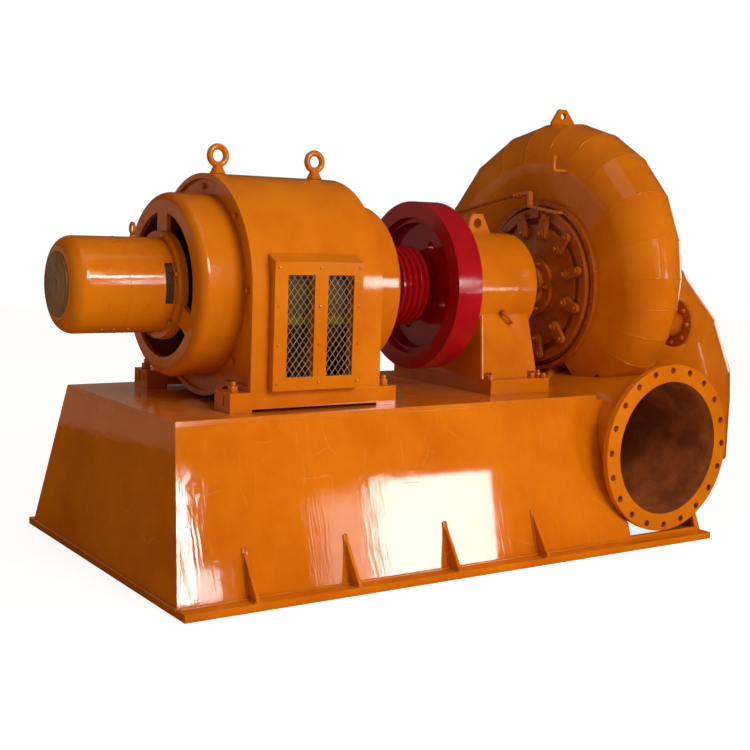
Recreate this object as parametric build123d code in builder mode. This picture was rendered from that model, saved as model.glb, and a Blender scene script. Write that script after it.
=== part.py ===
# Horizontal Francis turbine and generator set on one welded bedplate.
# Frame: +X runs from the generator to the turbine, +Y to the back, +Z up.
# The origin is the middle of the bedplate's underside. All lengths are in millimetres.

from build123d import *
from math import cos, radians, sin
import os

# Fits
SEAT = 0.3                  # gap between faces that only rest on each other
RUN_FIT = 0.05              # radial clearance of a shaft or stem in its bearing
FREE_BORE = 2.0             # radial clearance where the shaft passes a cover
ROOM = 6.0                  # room left round the inlet flange

# Inlet and spiral case; they set the height of the shaft
INLET_CLEAR = 50.0          # from the floor to the lower edge of the inlet flange
PIPE_R = 320.0              # outer radius of the inlet pipe
FLANGE_RISE = 70.0          # how far the inlet flange stands out round its pipe
INLET_FLANGE_THICK = 28.0
BOLT_CIRCLE_RISE = 42.5     # from the outside of the pipe to the circle of bolt holes
INLET_HOLES = 20
INLET_HOLE_R = 15.0
FLANGE_SET = 5.0            # how far the flange face lies behind the foot of the front wall
SPIRAL_IN_R = 387.0         # radius of the circle that the spiral touches from outside
NOSE_R = 132.0              # outer radius of the spiral's narrow end
SPIRAL_END = 330.0          # angle where the narrow end dies out in the inlet pipe
SPIRAL_SAG = 0.15           # how far the taper departs from an even one
SPIRAL_PLATE = 10.0
MITRES = (0, 20, 40, 60, 79, 99, 118, 137, 155, 170, 184, 198, 213, 231, 249, 264, 276, 288, 301, 315)
SITE_SEAMS = (118.0, 213.0) # mitres where the three sections of the case are joined

# Bedplate, a welded box with leaning walls
FOOT_THICK = 30.0           # thickness of the foot frame
FOOT_BAR = 110.0            # width of its bars
FOOT_LEDGE = 66.0           # how far the foot stands out beside the long walls
WALL_LEAN = 208.0           # how far a long wall leans in over its height
END_LEAN = 79.0             # how far an end plate leans in over its height
PLATE = 16.0                # thickness of the walls
TOP_PLATE = 20.0
TOP_MARGIN = 95.0           # top plate beside the feet of the generator
TOP_LAP = 37.0              # how far the top plate reaches over the inlet pipe
BULKHEAD_GAP = 54.0         # from the cross wall's front face to the spiral case
END_SETBACK = 245.0         # from the spiral's middle plane to the right end
NOTCH_HALF = 213.0          # half width of the notch under the inlet flange
RIB_AT = (295.0, 741.0, 1227.0, 1705.0)  # from the left end
RIB_HEIGHT = 185.0
RIB_THICK = 14.0
RIB_TOE = 8.0

# Generator
GEN_SETBACK = 440.0         # from the left end of the bedplate to the frame
GEN_LENGTH = 605.0
GEN_R = 460.0               # outer radius of the round top, also half the width
GEN_WALL = 22.0
END_RECESS = 13.0           # how deep an end shield sits inside the frame
FEET_LEFT = 88.0            # how far the feet stand out past the frame
FEET_RIGHT = 85.0
FEET_WIDTH = 133.0
FEET_HEIGHT = 67.0
SLOT_Y = 54.0               # jack slot in the end of a foot, from the foot's outer side
SLOT_WIDTH = 10.0
SLOT_HEIGHT = 38.0
SLOT_DEPTH = 60.0
PAD_HEIGHT = 12.0           # machined pad between foot and bedplate
PAD_LENGTH = 97.0
SHIELD_PLATE = 15.0         # plate of an end shield
SHIELD_WALL = 18.0
LEFT_STEP = 84.0            # how far a drum is smaller than the frame
RIGHT_STEP = 106.0
LEFT_DRUM_DEPTH = 174.0
RIGHT_DRUM_DEPTH = 173.0
DRUM_ROUND = 38.0
OPENING_MARGIN = 81.0       # from the drum's outside to the openings in its face
OPENING_WIDTH = 73.0        # width of the openings, outward from the shaft
OPENING_GAP = 4.0           # from the openings to the exciter's ring
SPIDER_ARMS = 3
SPIDER_ARM = 90.0           # width of an arm
STATOR_DEPTH = 146.0
STATOR_LEFT = 71.0          # from the frame's ends to the stator
STATOR_RIGHT = 74.0
AIR_GAP = 6.0
SHAFT_R = 70.0
SHAFT_STUB = 60.0           # how far the shaft reaches out of the left shield

# Vent covers on the long sides of the generator
VENT_LEFT = 77.0            # from the frame's ends to the cover
VENT_RIGHT = 121.0
VENT_RISE = 6.0             # from the feet to the cover
VENT_HEIGHT = 506.0         # height of its face
VENT_SLOPE = 49.0           # how much its top rises towards the frame
VENT_DEPTH = 38.0           # how far the cover stands out
VENT_SKIN = 4.0
VENT_SINK = 60.0            # how far its sides reach back to the round of the frame
WINDOW_LEFT = 59.0          # margins and bar of the two windows
WINDOW_RIGHT = 43.0
WINDOW_BAR = 61.0
WINDOW_RISE = 53.0
WINDOW_HEIGHT = 402.0
WINDOW_EASE = 10.0          # how much wider the opening in the frame is on each side
CELL_WIDTH = 29.0           # one diamond of the expanded metal
CELL_HEIGHT = 38.0
STRAND = 3.0
SCREEN_THICK = 2.0
SCREEN_LAP = 9.0            # how far a screen reaches behind the edge of its window

# Exciter; its radius follows from the openings round it
EXC_LENGTH = 437.0
EXC_ROUND = 60.0
EXC_WALL = 10.0
EXC_DISC_INSET = 4.0        # from the rounded edge to the end disc
EXC_DISC_THICK = 6.0
EXC_RING_RISE = 26.0        # mounting ring on the shield
EXC_RING_THICK = 22.0
EXC_VENT_GAP = 28.0         # vent slots, from the shield
EXC_VENT_WIDTH = 36.0
EXC_VENT_HEIGHT = 160.0
EXC_VENT_RISE = 16.0        # how far the slots' middle lies above the shaft
EXC_CELL = 14.0
EXC_EYE_AT = 127.0          # from the shield to the lifting eye
EXC_EYE_R = 21.0
EXC_EYE_WIRE = 6.0
EXC_EYE_BASE_R = 12.0
EXC_EYE_NECK_R = 8.4

# Lifting eyes of the generator
EYE_LEFT = 72.0             # from the frame's ends
EYE_RIGHT = 68.0
EYE_RISE = 74.0             # middle of the eye above the frame
EYE_R = 37.0
EYE_WIRE = 13.0
EYE_BASE_R = 34.0
EYE_NECK_R = 16.0

# Grooved coupling hub and flywheel
HUB_GAP = 133.0             # from the right shield to the hub
HUB_R = 182.0
RIDGES = 4
RIDGE_PITCH = 32.0
RIDGE_LAND = 11.2
RIDGE_ROOT = 10.4           # from a land to the bottom of the groove
RIDGE_DEPTH = 18.0
FLY_GAP = 10.8
FLY_WIDTH = 132.0
FLY_R = 386.0
RIM_HEIGHT = 73.0           # height of the rim over the dish
RIM_STEP_HEIGHT = 23.0
RIM_STEP = 26.0
WEB_DEPTH = 62.0            # depth of the dish on the generator side
WEB_THICK = 40.0
WEB_HOLES = 4
WEB_HOLE_R = 25.0
WEB_HOLE_PITCH_R = 196.0
WEB_HOLE_TURN = 23.4        # lowest front hole, from level towards the floor
FLY_BOSS_R = 110.0
FLY_BOSS_OUT = 18.0         # how far the boss stands out of the rim's right face

# Pedestal bearing
BRG_GAP = 72.0
BRG_LENGTH = 360.0
BRG_R = 253.0
COLUMN_FOOT = 336.0         # length of the column's foot, flush with the housing's left end
COLUMN_HALF_FOOT = 317.0    # half width of the foot
COLUMN_LEAN_LEFT = 58.0     # how far the left side leans in up to the housing
COLUMN_LEAN_RIGHT = -6.0    # the right side leans out a little
COLUMN_LEAN_Y = 95.0
COLUMN_TOP_DROP = 115.0     # from the shaft down to the column's top, inside the housing
COLUMN_CORNER = 12.0
BRG_COVER_R = 120.0
BRG_COVER_THICK = 12.0
POCKET_R = 24.0             # pockets for the foot bolts
POCKET_HEIGHT = 26.0
POCKET_SPAN = 257.0         # distance of the pockets along the shaft
SOLE_IN_LEFT = 1.0          # from the housing's ends in to the sole plate
SOLE_IN_RIGHT = 14.0
SOLE_HALF = 385.0
SOLE_HEIGHT = 65.0
LUG_THICK = 16.0            # plate of all lifting lugs
BRG_LUG_AT = 130.0          # from the housing's left end to its lug
BRG_LUG_BASE = 130.0
BRG_LUG_IN_LEFT = 21.0      # how far the top stands in from the base
BRG_LUG_IN_RIGHT = 48.0
BRG_LUG_HEIGHT = 88.0
BRG_LUG_HOLE_R = 23.0

# Turbine
SPIRAL_GAP = 92.0           # from the bearing to the widest part of the inlet pipe
COVER_SEAT = 166.0          # to the seat of the head cover on the stay ring
STAY_BACK = 174.0           # to the back of the stay ring
STAY_WIDTH = 47.0
RIM_RISE = 31.0             # fixed rim outside the circle that the spiral touches
RIM_WALL = 22.0
RIM_WEB = 10.0
COVER_GAP = 10.0            # radial gap between fixed rim and head cover
RIM_DEPTH = 35.0            # how far the fixed rim stands in front of the seat
COVER_DEPTH = 53.0          # how far the middle of the head cover stands in front of it
COVER_PLATE = 25.0          # thickness of the cover's flange
SHOULDER_DEPTH = 10.0       # shoulder of the cover that guides the operating ring
RING_INSET = 8.0
RING_WIDTH = 46.0
RING_LIP = 12.0
RING_PROUD = 1.0

# Guide vane gear
LEVERS = 12
LEVER_PHASE = 15.0
PIN_INSET = 36.0            # ring pins, from the outside of the operating ring
LEVER_REACH = 77.0          # from a vane stem to its ring pin
STEM_R = 16.0
STEM_DEPTH = 36.0           # how deep a stem reaches into the head cover
STEM_FREE = 4.0             # end clearance of a stem
PIN_R = 10.0
PIN_DEPTH = 18.0
PIN_PLAY = 0.6
SLOT_TRAVEL = 9.0           # length of a ring slot between its end circles
SLOT_OUT = 2.0              # how far it reaches outside the circle of pins
SLOT_CUT = 16.0
LEVER_BIG_R = 29.0
LEVER_SMALL_R = 23.0
LEVER_THICK = 22.0
HEAD_RISE = 8.0             # hub of a lever in front of its plate
HEAD_RIM = 6.0
BOSS_RISE = 7.0
BOSS_R = 34.0
BOSS_LEDGE = 3.0            # rim of the head cover outside the bosses

# Arm on the operating ring with the governor's rod
BLOCK_Y0 = -42.0            # block on the ring, front and back side
BLOCK_Y1 = 16.0
BLOCK_DEPTH = 22.0
BLOCK_LEDGE = 3.0
ARM_BAR = 14.0              # thickness of the bent flat bar
ARM_WIDTH = 24.0
KNEE_Y = 22.0               # lower bend of the bar
KNEE_RISE = 12.0            # height of the bend above the ring
STRAP_Y = -198.0            # free end of the strap
STRAP_DROP = 30.0
LEG_Y = 29.0                # upper bend
LEG_RISE = 68.0
ARM_Y = 112.0               # pin of the rod
ARM_RISE = 53.0
ARM_PIN_R = 8.0
PIN_REACH = 22.0            # how far the pin stands out of the arm
ROD_GAP = 2.0               # between arm and rod
ROD_R = 8.0
ROD_EYE_THICK = 12.0
ROD_LENGTH = 527.0
ROD_SLOPE = 10.8            # degrees that the rod falls towards the back
ROD_EYE_R = 17.0            # eyes of arm and rod

# Shaft seal, air cock and side nozzle
GLAND_R = 150.0
GLAND_BOX = 22.0
GLAND_IN_R = 104.0
GLAND_LENGTH = 47.0
COCK_ANGLE = 17.7           # from the top towards the front
COCK_R = 8.0
COCK_REACH = 78.0
COCK_RISE = 71.0
COCK_HEAD_R = 11.0
COCK_HEAD = 24.0
COCK_BEND = 14.0
NOZZLE_ANGLE = 286.0        # round the spiral, from the bottom towards the back
NOZZLE_REACH = 255.0        # from the spiral's middle plane to the nozzle's face
NOZZLE_R = 65.0
NOZZLE_WALL = 8.0
NOZZLE_FLANGE_R = 115.0
NOZZLE_FLANGE_THICK = 20.0
NOZZLE_HOLES = 8
NOZZLE_HOLE_R = 9.0
NOZZLE_PITCH_R = 92.0
SPIRAL_LUG_ANGLE = 174.0    # round the spiral, from the bottom towards the back
SPIRAL_LUG_BASE = 152.0
SPIRAL_LUG_IN = 52.0
SPIRAL_LUG_HEIGHT = 70.0
SPIRAL_LUG_HOLE_R = 16.0

# Draft tube elbow
BACK_COVER = 24.0
ELBOW_SETBACK = 221.0       # from the spiral's middle plane to the elbow's flange
ELBOW_FLANGE_RISE = 46.0
ELBOW_FLANGE_THICK = 20.0
ELBOW_BEND_R = 598.0
ELBOW_R0 = 232.0
ELBOW_R1 = 312.0
ELBOW_PLATE = 10.0
ELBOW_PIECES = 4
ELBOW_LEG = 319.0           # length of the upright end
ELBOW_LUG_AT = 87.0         # from the lug's left side to the upright end's middle
ELBOW_LUG_BASE = 102.0
ELBOW_LUG_IN_LEFT = 46.0
ELBOW_LUG_IN_RIGHT = 14.0
ELBOW_LUG_FOOT = 62.0       # base of the lug above the shaft
ELBOW_LUG_HEIGHT = 105.0
ELBOW_LUG_HOLE_R = 15.0

# Heights and places that follow
inlet_flange_r = PIPE_R + FLANGE_RISE
pipe_z = INLET_CLEAR + inlet_flange_r
shaft_z = pipe_z + PIPE_R + SPIRAL_IN_R
bed_height = shaft_z - GEN_R - PAD_HEIGHT
under_top = bed_height - TOP_PLATE
foot_z = bed_height + PAD_HEIGHT
feet_top = foot_z + FEET_HEIGHT
sole_top = bed_height + SOLE_HEIGHT

hub_length = RIDGES * RIDGE_PITCH + RIDGE_LAND
turbine_end = PIPE_R + END_SETBACK
bed_length = (
    GEN_SETBACK + GEN_LENGTH + RIGHT_DRUM_DEPTH + HUB_GAP + hub_length + FLY_GAP
    + FLY_WIDTH + BRG_GAP + BRG_LENGTH + SPIRAL_GAP + turbine_end
)
end_foot = bed_length / 2
gen_x0 = GEN_SETBACK - end_foot
gen_x1 = gen_x0 + GEN_LENGTH
left_drum_x = gen_x0 - LEFT_DRUM_DEPTH
right_drum_x = gen_x1 + RIGHT_DRUM_DEPTH
hub_x0 = right_drum_x + HUB_GAP
hub_end = hub_x0 + hub_length
fly_x0 = hub_end + FLY_GAP
fly_x1 = fly_x0 + FLY_WIDTH
brg_x0 = fly_x1 + BRG_GAP
brg_x1 = brg_x0 + BRG_LENGTH
mid_x = end_foot - END_SETBACK

wall_top = GEN_R + TOP_MARGIN
wall_foot = wall_top + WALL_LEAN
foot_half = wall_foot + FOOT_LEDGE
bed_width = 2 * foot_half
inlet_y = -wall_foot + FLANGE_SET

lean = WALL_LEAN / (bed_height - FOOT_THICK)
end_slope = END_LEAN / (bed_height - FOOT_THICK)
wall_skin = PLATE * (1 + lean**2) ** 0.5
end_skin = PLATE * (1 + end_slope**2) ** 0.5
shaft_axis = Axis((0, 0, shaft_z), (1, 0, 0))


def wall_y(z):
    """Outer face of a long wall at a height."""
    return wall_foot - (z - FOOT_THICK) * lean


def end_x(z):
    """Outer face of an end plate at a height."""
    return end_foot - (z - FOOT_THICK) * end_slope


def on_shaft(angle, radius, x):
    """Point at a radius and an angle from the top towards the front."""
    return (x, -radius * sin(radians(angle)), shaft_z + radius * cos(radians(angle)))


def radial_plane(angle, radius, x):
    """Plane across the shaft at a radius, its x axis pointing outward."""
    a = radians(angle)
    return Plane(origin=on_shaft(angle, radius, x), x_dir=(0, -sin(a), cos(a)), z_dir=(1, 0, 0))


def spiral_radius(angle, grow=0.0):
    """Outer radius of the spiral tube at an angle from the bottom towards the back."""
    t = angle / SPIRAL_END
    return PIPE_R - (PIPE_R - NOSE_R) * (t * (1 + SPIRAL_SAG) - SPIRAL_SAG * t * t) + grow


def spiral_plane(angle):
    """Radial plane of the spiral, with its origin in the middle of the tube."""
    a = radians(angle)
    reach = SPIRAL_IN_R + spiral_radius(angle)
    return Plane(
        origin=(mid_x, reach * sin(a), shaft_z - reach * cos(a)),
        x_dir=(1, 0, 0),
        z_dir=(0, cos(a), sin(a)),
    )


def lug_points(base, in_left, in_right, height, sink):
    """Outline of a lifting lug whose base line starts at the sketch's origin."""
    return [
        (0, -sink),
        (0, height / 2),
        (in_left, height),
        (base - in_right, height),
        (base, 0),
        (base, -sink),
    ]


os.makedirs("parts", exist_ok=True)

inlet_plane = Plane(origin=(mid_x, inlet_y, pipe_z), x_dir=(1, 0, 0), z_dir=(0, 1, 0))

# Room that the walls of the bedplate leave for the spiral case, its inlet pipe and flange
with BuildPart() as spiral_room:
    for angle in MITRES:
        with BuildSketch(spiral_plane(angle)):
            Circle(spiral_radius(angle, SEAT))
    loft(ruled=True)
with BuildPart() as pipe_room:
    with BuildSketch(inlet_plane):
        Circle(PIPE_R + SEAT)
    extrude(amount=-inlet_y)
    with BuildSketch(inlet_plane.offset(-PIPE_R)):
        Circle(inlet_flange_r + ROOM)
    extrude(amount=PIPE_R + INLET_FLANGE_THICK + ROOM)
    # the front wall and the right end plate stop where the pipe is widest
    with BuildSketch(Plane.XY.offset(pipe_z)):
        with Locations((mid_x, -foot_half)):
            Rectangle(foot_half, foot_half + PIPE_R, align=(Align.MIN, Align.MIN))
    extrude(amount=GEN_R + SPIRAL_IN_R)

# Bedplate: foot frame
with BuildPart() as foot_frame:
    with BuildSketch():
        Rectangle(bed_length, bed_width)
        Rectangle(bed_length - 2 * FOOT_BAR, bed_width - 2 * FOOT_BAR, mode=Mode.SUBTRACT)
    extrude(amount=FOOT_THICK)
foot_frame.part.label = "foot_frame"
export_step(foot_frame.part, "parts/foot_frame.step")

# Bedplate: long walls, mitred to the end plates
for side, name in ((-1, "front_wall"), (1, "back_wall")):
    with BuildPart() as long_wall:
        with BuildSketch(Plane.YZ.offset(-end_foot)):
            with BuildLine():
                Polyline(
                    (side * wall_y(FOOT_THICK), FOOT_THICK),
                    (side * wall_y(under_top), under_top),
                    (side * (wall_y(under_top) - wall_skin), under_top),
                    (side * (wall_y(FOOT_THICK) - wall_skin), FOOT_THICK),
                    close=True,
                )
            make_face()
        extrude(amount=bed_length)
        with BuildSketch(Plane.XZ):
            with BuildLine():
                Polyline(
                    (-end_x(FOOT_THICK) + end_skin, FOOT_THICK),
                    (-end_x(under_top) + end_skin, under_top),
                    (end_x(under_top) - end_skin, under_top),
                    (end_x(FOOT_THICK) - end_skin, FOOT_THICK),
                    close=True,
                )
            make_face()
        extrude(amount=bed_width, both=True, mode=Mode.INTERSECT)
        add(spiral_room.part, mode=Mode.SUBTRACT)
        if side < 0:
            add(pipe_room.part, mode=Mode.SUBTRACT)
            # notch under the flange, down to a sill on the foot frame
            with BuildSketch(Plane.XY.offset(INLET_CLEAR - ROOM)):
                with Locations((mid_x, -foot_half)):
                    Rectangle(2 * NOTCH_HALF, foot_half, align=(Align.CENTER, Align.MIN))
            extrude(amount=inlet_flange_r, mode=Mode.SUBTRACT)
    long_wall.part.label = name
    export_step(long_wall.part, f"parts/{name}.step")

for side, name in ((-1, "left_end_plate"), (1, "right_end_plate")):
    with BuildPart() as end_plate:
        with BuildSketch(Plane.XZ):
            with BuildLine():
                Polyline(
                    (side * end_x(FOOT_THICK), FOOT_THICK),
                    (side * end_x(under_top), under_top),
                    (side * (end_x(under_top) - end_skin), under_top),
                    (side * (end_x(FOOT_THICK) - end_skin), FOOT_THICK),
                    close=True,
                )
            make_face()
        extrude(amount=bed_width, both=True)
        with BuildSketch(Plane.YZ):
            with BuildLine():
                Polyline(
                    (-wall_y(FOOT_THICK), FOOT_THICK),
                    (-wall_y(under_top), under_top),
                    (wall_y(under_top), under_top),
                    (wall_y(FOOT_THICK), FOOT_THICK),
                    close=True,
                )
            make_face()
        extrude(amount=bed_length, both=True, mode=Mode.INTERSECT)
        if side > 0:
            add(spiral_room.part, mode=Mode.SUBTRACT)
            add(pipe_room.part, mode=Mode.SUBTRACT)
    end_plate.part.label = name
    export_step(end_plate.part, f"parts/{name}.step")

with BuildPart() as bulkhead:
    with BuildSketch(Plane.YZ.offset(mid_x - PIPE_R - BULKHEAD_GAP)):
        with BuildLine():
            Polyline(
                (-wall_y(FOOT_THICK) + wall_skin, FOOT_THICK),
                (-wall_y(under_top) + wall_skin, under_top),
                (wall_y(under_top) - wall_skin, under_top),
                (wall_y(FOOT_THICK) - wall_skin, FOOT_THICK),
                close=True,
            )
        make_face()
    extrude(amount=PLATE)
bulkhead.part.label = "bulkhead"
export_step(bulkhead.part, "parts/bulkhead.step")

top_end_x = mid_x - PIPE_R + TOP_LAP
with BuildPart() as bed_top:
    with BuildSketch(Plane.XY.offset(under_top)):
        with Locations((-end_x(under_top), 0)):
            Rectangle(
                top_end_x + end_x(under_top), 2 * wall_y(under_top), align=(Align.MIN, Align.CENTER)
            )
    with BuildSketch(Plane.XY.offset(bed_height)):
        with Locations((-end_x(bed_height), 0)):
            Rectangle(
                top_end_x + end_x(bed_height), 2 * wall_y(bed_height), align=(Align.MIN, Align.CENTER)
            )
    loft()
    add(spiral_room.part, mode=Mode.SUBTRACT)
bed_top.part.label = "bed_top"
export_step(bed_top.part, "parts/bed_top.step")

with BuildPart() as ribs:
    for at in RIB_AT:
        for side in (-1, 1):
            with BuildSketch(Plane.YZ.offset(at - end_foot - RIB_THICK / 2)):
                with BuildLine():
                    Polyline(
                        (side * wall_y(FOOT_THICK), FOOT_THICK),
                        (side * foot_half, FOOT_THICK),
                        (side * foot_half, FOOT_THICK + RIB_TOE),
                        (side * wall_y(FOOT_THICK + RIB_HEIGHT), FOOT_THICK + RIB_HEIGHT),
                        close=True,
                    )
                make_face()
            extrude(amount=RIB_THICK)
ribs.part.label = "bedplate_ribs"
export_step(ribs.part, "parts/bedplate_ribs.step")

# Generator pads and feet
feet_x0 = gen_x0 - FEET_LEFT
feet_x1 = gen_x1 + FEET_RIGHT
feet_mid = (feet_x0 + feet_x1) / 2
pad_x = (feet_x1 - feet_x0 - PAD_LENGTH) / 2
foot_y = GEN_R - FEET_WIDTH / 2
with BuildPart() as pads:
    with BuildSketch(Plane.XY.offset(bed_height)):
        with Locations((feet_mid, 0)):
            with GridLocations(2 * pad_x, 2 * foot_y, 2, 2):
                Rectangle(PAD_LENGTH, FEET_WIDTH)
    extrude(amount=PAD_HEIGHT)
pads.part.label = "generator_pads"
export_step(pads.part, "parts/generator_pads.step")

with BuildPart() as feet:
    with BuildSketch(Plane.XY.offset(foot_z)):
        with Locations((feet_mid, -foot_y), (feet_mid, foot_y)):
            Rectangle(feet_x1 - feet_x0, FEET_WIDTH)
    extrude(amount=FEET_HEIGHT)
    # the round belly of the frame passes between the feet
    with BuildSketch(Plane.YZ.offset(feet_x0)):
        with Locations((0, shaft_z)):
            Circle(GEN_R + SEAT)
    extrude(amount=feet_x1 - feet_x0, mode=Mode.SUBTRACT)
    # jack slots in both ends
    for x, way in ((feet_x0, 1), (feet_x1, -1)):
        with BuildSketch(Plane.YZ.offset(x)):
            with Locations(
                (SLOT_Y - GEN_R, foot_z + FEET_HEIGHT / 2), (GEN_R - SLOT_Y, foot_z + FEET_HEIGHT / 2)
            ):
                Rectangle(SLOT_WIDTH, SLOT_HEIGHT)
        extrude(amount=way * SLOT_DEPTH, mode=Mode.SUBTRACT)
feet.part.label = "generator_feet"
export_step(feet.part, "parts/generator_feet.step")

# Generator frame: round on top, upright sides down to the feet, round belly
with BuildPart() as gen_frame:
    with BuildSketch(Plane.YZ.offset(gen_x0)):
        with Locations((0, shaft_z)):
            Circle(GEN_R)
        with Locations((0, feet_top)):
            Rectangle(2 * GEN_R, shaft_z - feet_top, align=(Align.CENTER, Align.MIN))
    extrude(amount=GEN_LENGTH)
    with BuildSketch(Plane.YZ.offset(gen_x0)):
        with Locations((0, shaft_z)):
            Circle(GEN_R - GEN_WALL)
        with Locations((0, feet_top + GEN_WALL)):
            Rectangle(
                2 * (GEN_R - GEN_WALL), shaft_z - feet_top - GEN_WALL, align=(Align.CENTER, Align.MIN)
            )
    extrude(amount=GEN_LENGTH, mode=Mode.SUBTRACT)

vent_x0 = gen_x0 + VENT_LEFT
vent_length = GEN_LENGTH - VENT_LEFT - VENT_RIGHT
vent_z0 = feet_top + VENT_RISE
window_width = (vent_length - WINDOW_LEFT - WINDOW_RIGHT - WINDOW_BAR) / 2
window_x = [
    vent_x0 + WINDOW_LEFT + window_width / 2,
    vent_x0 + vent_length - WINDOW_RIGHT - window_width / 2,
]
window_z = vent_z0 + WINDOW_RISE + WINDOW_HEIGHT / 2
with BuildPart() as frame_with_windows:
    add(gen_frame.part)
    with BuildSketch(Plane.XZ.offset(GEN_R + ROOM)):
        with Locations([(x, window_z) for x in window_x]):
            Rectangle(window_width + 2 * WINDOW_EASE, WINDOW_HEIGHT + 2 * WINDOW_EASE)
    extrude(amount=-2 * (GEN_R + ROOM), mode=Mode.SUBTRACT)
frame_with_windows.part.label = "generator_frame"
export_step(frame_with_windows.part, "parts/generator_frame.step")

stator_r0 = GEN_R - GEN_WALL - STATOR_DEPTH
stator_x0 = gen_x0 + STATOR_LEFT
stator_length = GEN_LENGTH - STATOR_LEFT - STATOR_RIGHT
with BuildPart() as stator:
    with BuildSketch(Plane.YZ.offset(stator_x0)):
        with Locations((0, shaft_z)):
            Circle(GEN_R - GEN_WALL - SEAT)
            Circle(stator_r0, mode=Mode.SUBTRACT)
    extrude(amount=stator_length)
stator.part.label = "stator"
export_step(stator.part, "parts/stator.step")

# Vent covers with two windows each and a sloping top; they follow the round of the frame
vent_back = GEN_R - VENT_SINK
vent_face = GEN_R + VENT_DEPTH
vent_slope = VENT_SLOPE / (vent_face - vent_back)
face_top = vent_z0 + VENT_HEIGHT
under_slope = VENT_SKIN * (1 + vent_slope**2) ** 0.5
with BuildPart() as front_vent:
    with BuildSketch(Plane.YZ.offset(vent_x0)):
        with BuildLine():
            Polyline(
                (-vent_back, vent_z0),
                (-vent_face, vent_z0),
                (-vent_face, face_top),
                (-vent_back, face_top + VENT_SLOPE),
                close=True,
            )
        make_face()
    extrude(amount=vent_length)
    with BuildSketch(Plane.YZ.offset(vent_x0 + VENT_SKIN)):
        with BuildLine():
            Polyline(
                (-vent_back, vent_z0 + VENT_SKIN),
                (-vent_face + VENT_SKIN, vent_z0 + VENT_SKIN),
                (-vent_face + VENT_SKIN, face_top + VENT_SKIN * vent_slope - under_slope),
                (-vent_back, face_top + VENT_SLOPE - under_slope),
                close=True,
            )
        make_face()
    extrude(amount=vent_length - 2 * VENT_SKIN, mode=Mode.SUBTRACT)
    with BuildSketch(Plane.XZ.offset(vent_back)):
        with Locations([(x, window_z) for x in window_x]):
            Rectangle(window_width, WINDOW_HEIGHT)
    extrude(amount=VENT_SINK + VENT_DEPTH, mode=Mode.SUBTRACT)
    with BuildSketch(Plane.YZ.offset(gen_x0)):
        with Locations((0, shaft_z)):
            Circle(GEN_R + SEAT)
        with Locations((0, feet_top)):
            Rectangle(2 * (GEN_R + SEAT), shaft_z - feet_top, align=(Align.CENTER, Align.MIN))
    extrude(amount=GEN_LENGTH, mode=Mode.SUBTRACT)
front_vent.part.label = "front_vent_cover"
export_step(front_vent.part, "parts/front_vent_cover.step")

with BuildPart() as back_vent:
    add(front_vent.part)
    mirror(about=Plane.XZ, mode=Mode.REPLACE)
back_vent.part.label = "back_vent_cover"
export_step(back_vent.part, "parts/back_vent_cover.step")

# Expanded metal behind the windows
cells_x = int(window_width / CELL_WIDTH)
cells_z = int(WINDOW_HEIGHT / CELL_HEIGHT)
with BuildPart() as screens:
    with BuildSketch(Plane.XZ.offset(GEN_R + VENT_DEPTH - VENT_SKIN - SEAT)):
        with Locations([(x, window_z) for x in window_x]):
            Rectangle(window_width + 2 * SCREEN_LAP, WINDOW_HEIGHT + 2 * SCREEN_LAP)
        diamond = [
            (-CELL_WIDTH / 2 + STRAND, 0),
            (0, -CELL_HEIGHT / 2 + STRAND),
            (CELL_WIDTH / 2 - STRAND, 0),
            (0, CELL_HEIGHT / 2 - STRAND),
        ]
        with Locations([(x, window_z) for x in window_x]):
            with GridLocations(CELL_WIDTH, CELL_HEIGHT, cells_x, cells_z):
                Polygon(diamond, align=None, mode=Mode.SUBTRACT)
            with GridLocations(CELL_WIDTH, CELL_HEIGHT, cells_x - 1, cells_z - 1):
                Polygon(diamond, align=None, mode=Mode.SUBTRACT)
    extrude(amount=-SCREEN_THICK)
    mirror(about=Plane.XZ)
screens.part.label = "vent_screens"
export_step(screens.part, "parts/vent_screens.step")

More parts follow.
